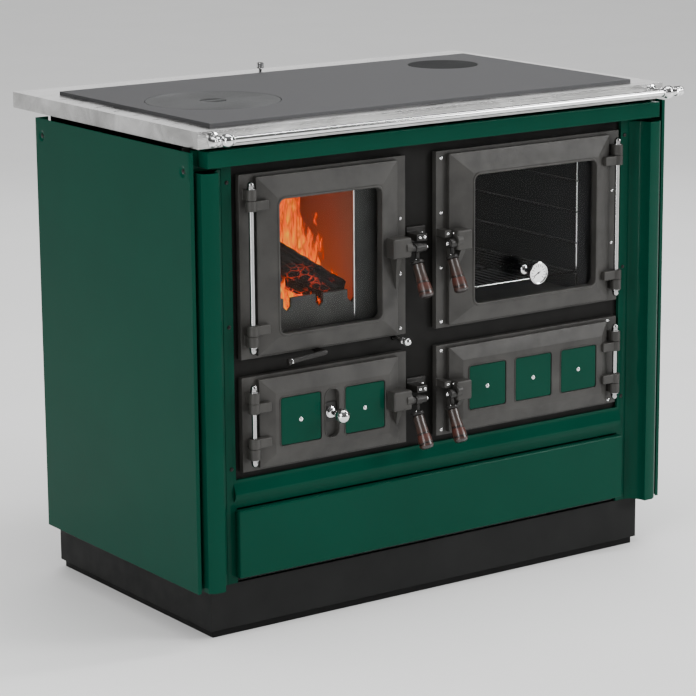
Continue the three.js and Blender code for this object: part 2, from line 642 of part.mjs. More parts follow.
// ---------------------------------------------------------------- top
function buildTopFrame() {
  const half = top.width / 2;
  const hx = hob.width / 2;
  const past = 5;
  const z0 = topUnder;
  const z1 = topFace;
  const seat = topFace + hob.rise - hob.thickness - GAP;
  const channelTop = z1 - top.sheet;
  const inX = hx + 4;
  const cuts = [
    block(-hx, hx, hob.front, hob.back, seat, z1 + past),
    block(-hx + hob.ledge, hx - hob.ledge, hob.front + hob.ledge, hob.back - hob.ledge, z0 - past, z1 + past),
    block(-half + top.sheet, half - top.sheet, top.front + top.sheet, hob.front - 4, z0 - past, channelTop),
    block(-half + top.sheet, half - top.sheet, hob.back + 4, top.back - top.sheet, z0 - past, channelTop),
    block(-half + top.sheet, -inX, hob.front - 5, hob.back + 5, z0 - past, channelTop),
    block(inX, half - top.sheet, hob.front - 5, hob.back + 5, z0 - past, channelTop),
    bar('z', damper.rod + RUN, z0 - past, z1 + past, flue.x, damper.y, 12),
  ];
  const slotX = (half + hx) / 2;
  const slotCount = 7;
  const slotPitch = 61;
  for (const side of [-1, 1]) {
    for (let i = 0; i < slotCount; i += 1) {
      const y = 95 + i * slotPitch;
      cuts.push(block(side * slotX - 7, side * slotX + 7, y - 2, y + 2, channelTop - past, z1 + past));
    }
  }
  place('top_frame', build([block(-half, half, top.front, top.back, z0, z1)], cuts), STEEL);
}

function buildHob() {
  const half = hob.width / 2 - hob.fit;
  const z1 = topFace + hob.rise;
  const z0 = z1 - hob.thickness;
  const past = 5;
  const cuts = [];
  for (const lid of [lids.large, lids.small]) {
    cuts.push(bar('z', lid.r + lids.fit, z1 - lid.thickness - GAP, z1 + past, lid.x, lid.y, 40));
    cuts.push(bar('z', lid.r - lids.seat, z0 - past, z1 + past, lid.x, lid.y, 40));
  }
  place('hob_plate', build([block(-half, half, hob.front + hob.fit, hob.back - hob.fit, z0, z1)], cuts), HOB);
  for (const [name, lid] of [['hob_lid_large', lids.large], ['hob_lid_small', lids.small]]) {
    const disc = bar('z', lid.r, z1 - lid.thickness, z1, lid.x, lid.y, 40);
    const lidCuts = [];
    if (lid.recess) {
      lidCuts.push(build([bar('z', lid.recess, z1 - lid.recessDepth, z1 + past, lid.x, lid.y)],
        [block(lid.x - lid.recess, lid.x + lid.recess,
          lid.y - lid.bar / 2, lid.y + lid.bar / 2, z1 - past * 2, z1 + past * 2)]));
    }
    place(name, build([disc], lidCuts), HOB);
  }
}

function buildFlue() {
  const y0 = body.depth - 9 + body.sheet + GAP;
  const y1 = y0 + flue.length;
  const r = flue.r;
  place('flue_collar', build([
    bar('y', r, y0 - 8, y1, flue.x, flue.z, flue.sides), bar('y', r + flue.flange, y0, y0 + 3, flue.x, flue.z, flue.sides),
  ], [
    bar('y', r - flue.wall, y0 - 15, y1 + 5, flue.x, flue.z, flue.sides),
    block(flue.x - damper.gateHalf - 1, flue.x + damper.gateHalf + 1,
      damper.y - damper.rod - 1, damper.y + damper.rod + 1, flue.z + 20, flue.z + r + 5),
  ]), GREY);

  const inner = r - flue.wall - 1;
  const gateLow = flue.z - Math.sqrt(inner * inner - damper.gateHalf * damper.gateHalf) + 2;
  const gateTop = topUnder - damper.travel - 2;
  const t = damper.gateThickness / 2;
  const knobZ = topFace + 16;
  place('damper_rod', build([
    bar('z', damper.rod, gateTop - 4, knobZ, flue.x, damper.y, 12),
    bar('z', damper.knob, knobZ - 6, knobZ + 6, flue.x, damper.y, 16),
    block(flue.x - damper.gateHalf, flue.x + damper.gateHalf, damper.y - t, damper.y + t, gateLow, gateTop),
  ]), CHROME);
}

function buildGuardRail() {
  const { bracketX, z, reach, capLength, capR } = guard;
  place('guard_rail', build([
    bar('x', guard.rod, -reach + 2, reach - 2, railFront, z, 16),
    bar('x', capR, -reach, -reach + capLength, railFront, z, 16),
    bar('x', capR, reach - capLength, reach, railFront, z, 16),
  ]), CHROME);
  for (const [name, side] of [['rail_bracket_left', -1], ['rail_bracket_right', 1]]) {
    const x = side * bracketX;
    const wallY = top.front - GAP;
    place(name, build([
      bar('y', 11, wallY - 4, wallY, x, z - 3), bar('y', 6, railFront, wallY - 2, x, z - 1, 12),
      ball(guard.ball, x, railFront, z),
    ], [bar('x', guard.rod + RUN, x - 20, x + 20, railFront, z, 16)]), CHROME);
  }
}

// ---------------------------------------------------------------- small controls
function buildControls() {
  const airY = plateFront - knobs.airReach;
  place('secondary_air_knob', build([
    bar('y', knobs.airR, airY, plateBack + knobs.airTail, knobs.airX, knobs.airZ, 12),
    ball(knobs.airBall, knobs.airX, airY, knobs.airZ),
  ]), CHROME);

  const r = knobs.leverR;
  const leverY = plateFront - knobs.leverForward;
  const tilt = THREE.MathUtils.degToRad(knobs.leverTilt);
  const arm = bar('x', r, -knobs.leverLength, 0, 0, 0, 14);
  const tip = bar('x', r + 1.5, -knobs.leverLength - 3, -knobs.leverLength + 1, 0, 0, 14);
  for (const piece of [arm, tip]) piece.rotateY(-tilt).translate(knobs.leverX, leverY, knobs.leverZ);
  place('grate_lever', build([
    arm, tip, ball(r, knobs.leverX, leverY, knobs.leverZ), bar('y', r, leverY, plateBack, knobs.leverX, knobs.leverZ, 14),
  ]), CAST);

  const f = fields.ash;
  const x = (f.doorX0 + f.doorX1) / 2;
  const z = (f.doorZ0 + f.doorZ1) / 2;
  const recessY = doorFace + ashAir.depth;
  const { width, slide, rosette, reach } = ashAir;
  place('primary_air_slider', build([
    block(x - width / 2 + 1, x + width / 2 - 1, recessY - GAP - 3, recessY - GAP, z - slide / 2, z + slide / 2),
    bar('y', rosette, recessY - 8, recessY - 2, x, z),
    bar('y', 4, recessY - reach, recessY - 2, x, z, 12),
    ball(ashAir.ball, x, recessY - reach, z),
  ]), CHROME);

  const dialY = doorFace - dial.forward + 2;
  place('oven_thermometer', build([
    bar('y', dial.r, dialY - dial.thickness, dialY, dial.x, dial.z, 28),
    bar('y', 4, dialY - 1, doorBack - GAP * 2 - glass.thickness, dial.x, dial.z, 12),
  ]), CHROME);
}

buildPlinth();
buildBasePan();
buildSidePanel('left_side_panel', -1);
buildSidePanel('right_side_panel', 1);
buildPost('left_corner_post', -1);
buildPost('right_corner_post', 1);
buildFrontFrame();
buildTopRail();
buildFrontPlate();
buildDoorField();
buildInside();
buildAshPan();
buildOvenFittings();
buildDrawer();
buildBackPanel();
buildTopFrame();
buildHob();
buildFlue();
buildGuardRail();
buildControls();

range.position.y = yShift;
range.updateMatrixWorld(true);

export default range;
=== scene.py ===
"""A wood-fired kitchen range cooker in green enamel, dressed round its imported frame.

Every length inside the forms is in millimetres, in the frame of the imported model: X to the right across
the front, -Y out of the front, Z up from the floor. Forms are scaled to metres when they become pieces.
"""

from __future__ import annotations

import logging
import math
import random
from dataclasses import dataclass, field
from enum import Enum
from typing import Iterable, Sequence

import bmesh
import bpy
from mathutils import Matrix, Vector, noise

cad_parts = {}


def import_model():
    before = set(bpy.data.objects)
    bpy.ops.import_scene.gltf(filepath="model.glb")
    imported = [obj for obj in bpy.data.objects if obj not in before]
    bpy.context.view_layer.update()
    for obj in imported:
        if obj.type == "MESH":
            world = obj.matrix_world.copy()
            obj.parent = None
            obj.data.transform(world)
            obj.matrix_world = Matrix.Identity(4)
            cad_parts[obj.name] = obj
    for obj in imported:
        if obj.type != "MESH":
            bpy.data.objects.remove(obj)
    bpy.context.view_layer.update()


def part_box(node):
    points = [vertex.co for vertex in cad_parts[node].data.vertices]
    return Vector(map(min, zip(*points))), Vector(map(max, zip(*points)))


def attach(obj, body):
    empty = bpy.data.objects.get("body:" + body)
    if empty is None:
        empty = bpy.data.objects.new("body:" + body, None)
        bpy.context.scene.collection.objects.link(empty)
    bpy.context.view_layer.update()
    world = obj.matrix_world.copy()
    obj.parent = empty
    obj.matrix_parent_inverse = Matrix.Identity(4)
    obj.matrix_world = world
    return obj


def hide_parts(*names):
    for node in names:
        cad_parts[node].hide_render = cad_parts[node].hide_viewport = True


LOG = logging.getLogger("range_cooker")
MM = 0.001
Point = Sequence[float]
Colour = tuple[float, float, float]
Profile = Sequence[tuple[float, float]]
Socket = bpy.types.NodeSocket
Vert = bmesh.types.BMVert
Edge = bmesh.types.BMEdge


class Way(Enum):
    """A direction along an axis of the frame."""

    X = (1, 0, 0)
    Y = (0, 1, 0)
    Z = (0, 0, 1)
    FRONT = (0, -1, 0)
    DOWN = (0, 0, -1)


class Side(Enum):
    """A side of the range, or of a door, with its sign along X."""

    LEFT = -1
    RIGHT = 1


class Row(Enum):
    """Which row a door is in, with the height of its latch."""

    UPPER = 617.5
    LOWER = 356.0


@dataclass(frozen=True)
class Limits:
    """The lowest and highest corners of something, in millimetres."""

    x0: float
    x1: float
    y0: float
    y1: float
    z0: float
    z1: float

    @property
    def middle(self) -> Vector:
        """The centre point."""
        return Vector(((self.x0 + self.x1) / 2, (self.y0 + self.y1) / 2, (self.z0 + self.z1) / 2))


def limits(node: str) -> Limits:
    """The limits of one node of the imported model."""
    lo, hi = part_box(node)
    return Limits(*(v / MM for pair in zip(lo, hi) for v in pair))


def facing(way: Point, axis: str = "Z") -> Matrix:
    """The turn that points an axis along a direction."""
    return Vector(way).to_track_quat(axis, "Y").to_matrix().to_4x4()


def shade(tone: Colour, share: float) -> Colour:
    """A tone made darker or lighter."""
    return tuple(c * share for c in tone)


# ------------------------------------------------------------------------------------------- finishes
class Board:
    """The nodes of one material, built round its Principled shader."""

    def __init__(self, name: str) -> None:
        """Starts an empty material.

        Args:
            name: the material's name.
        """
        self.material = bpy.data.materials.new(name)
        self.material.use_nodes = True
        self.tree = self.material.node_tree
        self.shader = self.tree.nodes["Principled BSDF"]
        self.output = self.tree.nodes["Material Output"]
        self.place = self.add("ShaderNodeTexCoord").outputs["Object"]

    def add(self, kind: str, **settings: object) -> bpy.types.Node:
        """Adds a node.

        Args:
            kind: its type.
            settings: values of its own properties.

        Returns:
            The node.
        """
        node = self.tree.nodes.new(kind)
        for key, value in settings.items():
            setattr(node, key, value)
        return node

    def link(self, start: Socket, end: Socket) -> None:
        """Joins two sockets."""
        self.tree.links.new(start, end)

    def set(self, **values: object) -> None:
        """Sets uniform values on the shader's own sockets, spaces written as underscores."""
        for key, value in values.items():
            self.shader.inputs[key.replace("_", " ")].default_value = value

    def mapped(self, stretch: Point = (1, 1, 1), centre: Point = (0, 0, 0)) -> Socket:
        """Object coordinates after a mapping.

        Args:
            stretch: scale along each axis.
            centre: the point, in metres, that goes to the origin.

        Returns:
            The mapped vector.
        """
        node = self.add("ShaderNodeMapping", vector_type="TEXTURE")
        node.inputs["Location"].default_value = centre
        node.inputs["Scale"].default_value = [1 / s for s in stretch]
        self.link(self.place, node.inputs["Vector"])
        return node.outputs[0]

    def noise(self, scale: float, detail: float = 4, stretch: Point = (1, 1, 1), distortion: float = 0,
              vector: Socket | None = None) -> Socket:
        """A noise factor in object space.

        Args:
            scale: cells per metre.
            detail: octaves.
            stretch: extra scale along each axis.
            distortion: how far the noise bends itself.
            vector: another vector to read.

        Returns:
            The factor, from 0 to 1.
        """
        node = self.add("ShaderNodeTexNoise")
        node.inputs["Scale"].default_value = scale
        node.inputs["Detail"].default_value = detail
        node.inputs["Distortion"].default_value = distortion
        self.link(vector or self.mapped(stretch), node.inputs["Vector"])
        return node.outputs[0]

    def ramp(self, factor: Socket, stops: Sequence[tuple[float, Colour]]) -> Socket:
        """A colour ramp over a factor.

        Args:
            factor: what it reads.
            stops: pairs of position and colour, in order.

        Returns:
            The colour.
        """
        node = self.add("ShaderNodeValToRGB")
        while len(node.color_ramp.elements) < len(stops):
            node.color_ramp.elements.new(0.5)
        for element, (at, colour) in zip(node.color_ramp.elements, stops):
            element.position = at
            element.color = (*colour, 1)
        self.link(factor, node.inputs[0])
        return node.outputs[0]

    def span(self, factor: Socket, low: float, high: float, start: float = 0, end: float = 1) -> Socket:
        """A factor turned into a value, held at both ends.

        Args:
            factor: what it reads.
            low: the value at start.
            high: the value at end.
            start: the factor that gives low.
            end: the factor that gives high.

        Returns:
            The value.
        """
        node = self.add("ShaderNodeMapRange")
        for key, value in zip(("From Min", "From Max", "To Min", "To Max"), (start, end, low, high)):
            node.inputs[key].default_value = value
        self.link(factor, node.inputs["Value"])
        return node.outputs[0]

    def math(self, how: str, a: Socket, b: Socket | float) -> Socket:
        """Two values joined by an operation.

        Args:
            how: the operation.
            a: the first value.
            b: the second value, a number or another node's.

        Returns:
            The result.
        """
        node = self.add("ShaderNodeMath", operation=how)
        self.link(a, node.inputs[0])
        if isinstance(b, (int, float)):
            node.inputs[1].default_value = b
        else:
            self.link(b, node.inputs[1])
        return node.outputs[0]

    def blend(self, a: Socket, part: float, b: Socket, rest: float) -> Socket:
        """The weighted sum of two factors."""
        return self.math("ADD", self.math("MULTIPLY", a, part), self.math("MULTIPLY", b, rest))

    def split(self, vector: Socket) -> bpy.types.Node:
        """A vector's parts.

        Args:
            vector: what is split.

        Returns:
            The node, with outputs X, Y and Z.
        """
        node = self.add("ShaderNodeSeparateXYZ")
        self.link(vector, node.inputs[0])
        return node

    def attribute(self, name: str) -> Socket:
        """A number stored on the piece's points."""
        return self.add("ShaderNodeAttribute", attribute_name=name).outputs["Fac"]

    def colour(self, socket: Socket) -> None:
        """Paints the base colour."""
        self.link(socket, self.shader.inputs["Base Color"])

    def roughness(self, factor: Socket, low: float, high: float) -> None:
        """Varies the roughness between two values."""
        self.link(self.span(factor, low, high, 0.25, 0.75), self.shader.inputs["Roughness"])

    def bump(self, factor: Socket, depth: float, strength: float = 1.0) -> None:
        """Raises the surface by a factor; a second call adds to the first.

        Args:
            factor: what raises it.
            depth: how far, in metres.
            strength: how much of it shows.
        """
        node = self.add("ShaderNodeBump")
        node.inputs["Strength"].default_value = strength
        node.inputs["Distance"].default_value = depth
        self.link(factor, node.inputs["Height"])
        normal = self.shader.inputs["Normal"]
        if normal.is_linked:
            self.link(normal.links[0].from_socket, node.inputs["Normal"])
        self.link(node.outputs[0], normal)


@dataclass(frozen=True)
class Finish:
    """What a surface is made of; each kind dresses its own board once."""

    name: str

    def material(self) -> bpy.types.Material:
        """Finds the finish's material, or makes it the first time.

        Returns:
            The material.
        """
        found = bpy.data.materials.get(self.name)
        if found:
            return found
        board = Board(self.name)
        self.dress(board)
        return board.material

    def dress(self, board: Board) -> None:
        """Builds this finish's nodes on a board."""
        raise NotImplementedError


@dataclass(frozen=True)
class Enamel(Finish):
    """Glossy vitreous enamel with a faint orange-peel surface."""

    deep: Colour = (0.0002, 0.0350, 0.0210)
    light: Colour = (0.0003, 0.0400, 0.0240)

    def dress(self, board: Board) -> None:
        """Builds the nodes.

        Args:
            board: where they go.
        """
        cloud = board.noise(7, 3)
        board.colour(board.ramp(cloud, [(0.2, self.deep), (0.8, self.light)]))
        board.roughness(board.noise(40, 3), 0.10, 0.19)
        board.bump(board.noise(220, 2), 0.00004, 0.35)
        board.bump(board.noise(6, 1), 0.0003, 0.12)
        board.set(Specular_IOR_Level=0.06)


@dataclass(frozen=True)
class CastIron(Finish):
    """Iron with the fine grain of a sand mould under stove paint."""

    tone: Colour = (0.034, 0.0325, 0.0300)
    gloss: float = 0.42
    grain: float = 0.00012

    def dress(self, board: Board) -> None:
        """Builds the nodes.

        Args:
            board: where they go.
        """
        patch = board.noise(24, 5)
        board.colour(board.ramp(patch, [(0.3, shade(self.tone, 0.72)), (0.5, self.tone),
                                        (0.72, shade(self.tone, 1.22))]))
        board.roughness(board.noise(60, 4), self.gloss - 0.06, self.gloss + 0.12)
        board.bump(board.noise(900, 3), self.grain, 0.55)
        board.bump(board.noise(120, 4), self.grain * 2.5, 0.2)
        board.set(Metallic=0.1, Specular_IOR_Level=0.35)


@dataclass(frozen=True)
class Paint(Finish):
    """Painted steel sheet, with a darker band low down where one is wanted."""

    tone: Colour = (0.05, 0.05, 0.05)
    gloss: float = 0.45
    band_top: float = -1.0
    shine: float = 0.4

    def dress(self, board: Board) -> None:
        """Builds the nodes.

        Args:
            board: where they go.
        """
        stops = [(0.3, shade(self.tone, 0.85)), (0.7, shade(self.tone, 1.15))]
        colour = board.ramp(board.noise(11, 4), stops)
        if self.band_top > 0:
            height = board.split(board.place).outputs["Z"]
            mix = board.add("ShaderNodeMix", data_type="RGBA")
            above = board.span(height, 0, 1, self.band_top - 0.0004, self.band_top + 0.0004)
            board.link(above, mix.inputs["Factor"])
            mix.inputs["A"].default_value = (*shade(self.tone, 0.35), 1)
            board.link(colour, mix.inputs["B"])
            colour = mix.outputs["Result"]
        board.colour(colour)
        board.roughness(board.noise(35, 4), self.gloss - 0.06, self.gloss + 0.1)
        board.bump(board.noise(700, 2), 0.00006, 0.4)
        board.set(Specular_IOR_Level=self.shine)


@dataclass(frozen=True)
class BrushedSteel(Finish):
    """Stainless sheet with long brush lines, and cloudy reflections painted into its colour."""

    stretch: Point = (1.5, 260, 260)

    def dress(self, board: Board) -> None:
        """Builds the nodes.

        Args:
            board: where they go.
        """
        lines = board.noise(5, 6, self.stretch)
        cloud = board.noise(6, 3, (1, 2.5, 2.5), 0.8)
        mixed = board.blend(lines, 0.35, cloud, 0.65)
        # painted reflection: the cloud noise swings the metal's colour between dark and bright patches, like
        # mirrored clouds
        board.colour(board.ramp(mixed, [(0.32, (0.36, 0.357, 0.352)), (0.5, (0.58, 0.576, 0.57)),
                                        (0.68, (0.86, 0.856, 0.85))]))
        board.roughness(mixed, 0.2, 0.36)
        board.bump(lines, 0.00003, 0.5)
        board.set(Metallic=1.0)


@dataclass(frozen=True)
class Chrome(Finish):
    """Polished plating with faint wipe marks."""

    tone: Colour = (0.78, 0.78, 0.79)
    gloss: float = 0.08

    def dress(self, board: Board) -> None:
        """Builds the nodes.

        Args:
            board: where they go.
        """
        board.colour(board.ramp(board.noise(30, 3), [(0.3, self.tone), (0.7, shade(self.tone, 1.12))]))
        board.roughness(board.noise(90, 4), self.gloss, self.gloss + 0.09)
        board.set(Metallic=1.0)


@dataclass(frozen=True)
class GroundIron(Finish):
    """Ground hob iron: fine pits, long grinding lines, or rings round a centre."""

    tone: Colour = (0.0062, 0.0064, 0.0064)
    centre: Point | None = None

    def dress(self, board: Board) -> None:
        """Builds the nodes.

        Args:
            board: where they go.
        """
        speck = board.noise(1400, 2)
        cloud = board.noise(9, 5, distortion=0.4)
        mixed = board.blend(speck, 0.6, cloud, 0.4)
        board.colour(board.ramp(mixed, [(0.36, shade(self.tone, 0.55)), (0.5, self.tone),
                                        (0.66, shade(self.tone, 1.9))]))
        board.roughness(cloud, 0.56, 0.7)
        board.bump(speck, 0.00009, 0.5)
        if self.centre is None:
            board.bump(board.noise(4, 5, (2, 200, 1)), 0.00004, 0.5)
        else:
            rings = board.add("ShaderNodeTexWave", wave_type="RINGS", rings_direction="Z")
            rings.inputs["Scale"].default_value = 130
            rings.inputs["Distortion"].default_value = 1.2
            rings.inputs["Detail"].default_value = 3
            board.link(board.mapped(centre=self.centre), rings.inputs["Vector"])
            board.bump(rings.outputs["Fac"], 0.00006, 0.6)
        board.set(Metallic=0.0, Specular_IOR_Level=0.045)


@dataclass(frozen=True)
class GripWood(Finish):
    """Turned, lacquered wood: smoky above, red-brown below, with scorched rings and long pores."""

    def dress(self, board: Board) -> None:
        """Builds the nodes.

        Args:
            board: where they go.
        """
        along = board.attribute("along")
        pores = board.noise(60, 5, (1, 1, 0.12), 0.6)
        drift = board.math("MULTIPLY", board.math("SUBTRACT", pores, 0.5), 0.16)
        wander = board.math("ADD", along, drift)
        smoky, brown, red = (0.026, 0.0185, 0.0155), (0.052, 0.021, 0.0155), (0.072, 0.020, 0.014)
        ring = (0.010, 0.006, 0.005)
        board.colour(board.ramp(wander, [(0.0, smoky), (0.40, (0.036, 0.0215, 0.017)), (0.50, brown),
                                         (0.535, ring), (0.565, ring), (0.60, red), (0.79, brown),
                                         (0.82, ring), (0.85, ring), (0.88, brown),
                                         (0.96, (0.018, 0.013, 0.012))]))
        board.roughness(pores, 0.24, 0.42)
        board.bump(pores, 0.00025, 0.5)
        board.set(Coat_Weight=0.35, Coat_Roughness=0.12)


@dataclass(frozen=True)
class Firebrick(Finish):
    """Pressed fireclay, rust-red with patches of soot, and darker towards the back."""

    def dress(self, board: Board) -> None:
        """Builds the nodes.

        Args:
            board: where they go.
        """
        grit = board.noise(260, 5)
        soot = board.noise(13, 4, distortion=0.5)
        back = board.span(board.split(board.place).outputs["Y"], 0.0, 0.55, -0.20, 0.16)
        mixed = board.math("ADD", board.math("MULTIPLY", soot, 0.8), back)
        board.colour(board.ramp(mixed, [(0.28, (0.13, 0.040, 0.014)), (0.52, (0.070, 0.020, 0.008)),
                                        (0.85, (0.018, 0.007, 0.005))]))
        board.bump(grit, 0.0009, 0.6)
        board.set(Roughness=0.88)


@dataclass(frozen=True)
class Pane(Finish):
    """Clear heat-proof glass."""

    def dress(self, board: Board) -> None:
        """Builds the nodes.

        Args:
            board: where they go.
        """
        board.roughness(board.noise(14, 3), 0.0, 0.004)
        board.set(Base_Color=(0.93, 0.95, 0.94, 1), Transmission_Weight=1.0, IOR=1.12)


@dataclass(frozen=True)
class Char(Finish):
    """Burnt wood, black and cracked, with embers glowing in the low cracks."""

    glow: float = 1.0
    low: float = 0.47
    high: float = 0.60

    def dress(self, board: Board) -> None:
        """Builds the nodes.

        Args:
            board: where they go.
        """
        cracks = board.add("ShaderNodeTexVoronoi", feature="DISTANCE_TO_EDGE")
        cracks.inputs["Scale"].default_value = 62
        board.link(board.mapped((1, 1, 1.7)), cracks.inputs["Vector"])
        edge = cracks.outputs["Distance"]
        fibre = board.noise(120, 6, distortion=0.7)
        board.colour(board.ramp(fibre, [(0.35, (0.004, 0.003, 0.003)), (0.6, (0.016, 0.010, 0.008)),
                                        (0.8, (0.05, 0.028, 0.018))]))
        height = board.split(board.place).outputs["Z"]
        fall = board.span(height, 1, 0, self.low, self.high)
        patch = board.span(board.noise(26, 3), 0, 1, 0.46, 0.64)
        inside = board.span(edge, 1, 0, 0.0, 0.09)
        heat = board.math("MULTIPLY", board.math("MULTIPLY", inside, patch), fall)
        glow = board.ramp(heat, [(0.0, (0, 0, 0)), (0.3, (0.5, 0.03, 0.004)), (0.75, (1, 0.22, 0.02)),
                                 (1.0, (1, 0.6, 0.12))])
        board.link(glow, board.shader.inputs["Emission Color"])
        board.bump(edge, 0.0022, 0.8)
        board.bump(fibre, 0.0012, 0.7)
        board.set(Roughness=0.82, Emission_Strength=3.2 * self.glow)


@dataclass(frozen=True)
class Flame(Finish):
    """Burning gas: yellow filaments that thin out to orange wisps, read from each sheet's own UV map."""

    seed: float = 0.0
    reach: float = 1.0

    def dress(self, board: Board) -> None:
        """Builds the nodes.

        Args:
            board: where they go.
        """
        uv = board.add("ShaderNodeUVMap", uv_map="sheet").outputs[0]
        parts = board.split(uv)
        across, up = parts.outputs["X"], parts.outputs["Y"]
        flow = board.add("ShaderNodeMapping")
        flow.inputs["Location"].default_value = (self.seed, self.seed * 1.7, self.seed * 0.6)
        flow.inputs["Scale"].default_value = (2.3, 1.0, 1.0)
        board.link(uv, flow.inputs["Vector"])
        wisp = board.noise(1.55, 6, distortion=1.5, vector=flow.outputs[0])
        curl = board.noise(3.4, 5, distortion=2.2, vector=flow.outputs[0])
        body = board.blend(wisp, 0.62, curl, 0.38)
        off = board.math("ABSOLUTE", board.math("SUBTRACT", across, 0.5), 0.0)
        side = board.math("MULTIPLY", off, 2.0)
        rim = board.math("POWER", side, 3.0)
        height = board.math("MULTIPLY", board.math("POWER", up, 1.3), 0.34 / self.reach)
        left = board.math("SUBTRACT", body, board.math("ADD", height, board.math("MULTIPLY", rim, 0.5)))
        alpha = board.span(left, 0, 1, 0.25, 0.34)
        board.link(alpha, board.shader.inputs["Alpha"])
        fire = board.ramp(left, [(0.24, (0.35, 0.012, 0.0)), (0.33, (1.0, 0.075, 0.0)),
                                 (0.40, (1.0, 0.20, 0.002)), (0.47, (1.0, 0.42, 0.01)),
                                 (0.55, (1.0, 0.80, 0.16))])
        board.link(fire, board.shader.inputs["Emission Color"])
        board.set(Base_Color=(0, 0, 0, 1), Roughness=1.0, Emission_Strength=1.25, Specular_IOR_Level=0.0)


@dataclass(frozen=True)
class Rope(Finish):
    """Woven glass-fibre seal."""

    def dress(self, board: Board) -> None:
        """Builds the nodes.

        Args:
            board: where they go.
        """
        weave = board.noise(650, 2, distortion=0.8)
        board.colour(board.ramp(weave, [(0.3, (0.02, 0.02, 0.02)), (0.7, (0.10, 0.098, 0.092))]))
        board.bump(weave, 0.0006, 0.9)
        board.set(Roughness=0.95)


@dataclass(frozen=True)
class DialFace(Finish):
    """White printed metal."""

    def dress(self, board: Board) -> None:
        """Builds the nodes.

        Args:
            board: where they go.
        """
        stops = [(0.3, (0.80, 0.80, 0.78)), (0.7, (0.90, 0.90, 0.88))]
        board.colour(board.ramp(board.noise(160, 3), stops))
        board.set(Roughness=0.3, Coat_Weight=0.6)


GREEN = Enamel("green_enamel")
IRON = CastIron("cast_iron_paint")
DARK_IRON = CastIron("dark_iron", (0.014, 0.013, 0.012), 0.36)
SOOT_IRON = CastIron("sooted_iron", (0.010, 0.0095, 0.009), 0.55)
RETAINER_IRON = CastIron("retainer_iron", (0.045, 0.044, 0.042), 0.5)
GUIDE_IRON = CastIron("guide_iron", (0.042, 0.043, 0.042), 0.4)
FRONT_BLACK = Paint("front_black", (0.0030, 0.0027, 0.0021), 0.55, shine=0.18)
SHEET_GREY = Paint("sheet_grey", (0.060, 0.062, 0.062), 0.4)
PLINTH_GREY = Paint("plinth_grey", (0.0095, 0.0098, 0.0096), 0.5, 0.013, 0.12)
OVEN_BLACK = Paint("oven_enamel", (0.0005, 0.0008, 0.0014), 0.2, shine=0.05)
STEEL = BrushedSteel("brushed_steel")
CHROME = Chrome("chrome")
ROD_CHROME = Chrome("rod_chrome", (0.40, 0.40, 0.40), 0.12)
HOB = GroundIron("hob_iron")
WOOD = GripWood("grip_wood")
BRICK = Firebrick("firebrick")
PANE = Pane("pane_glass")
ROPE = Rope("rope_seal")
DIAL = DialFace("dial_face")
INK = Paint("dial_ink", (0.01, 0.01, 0.01), 0.5)


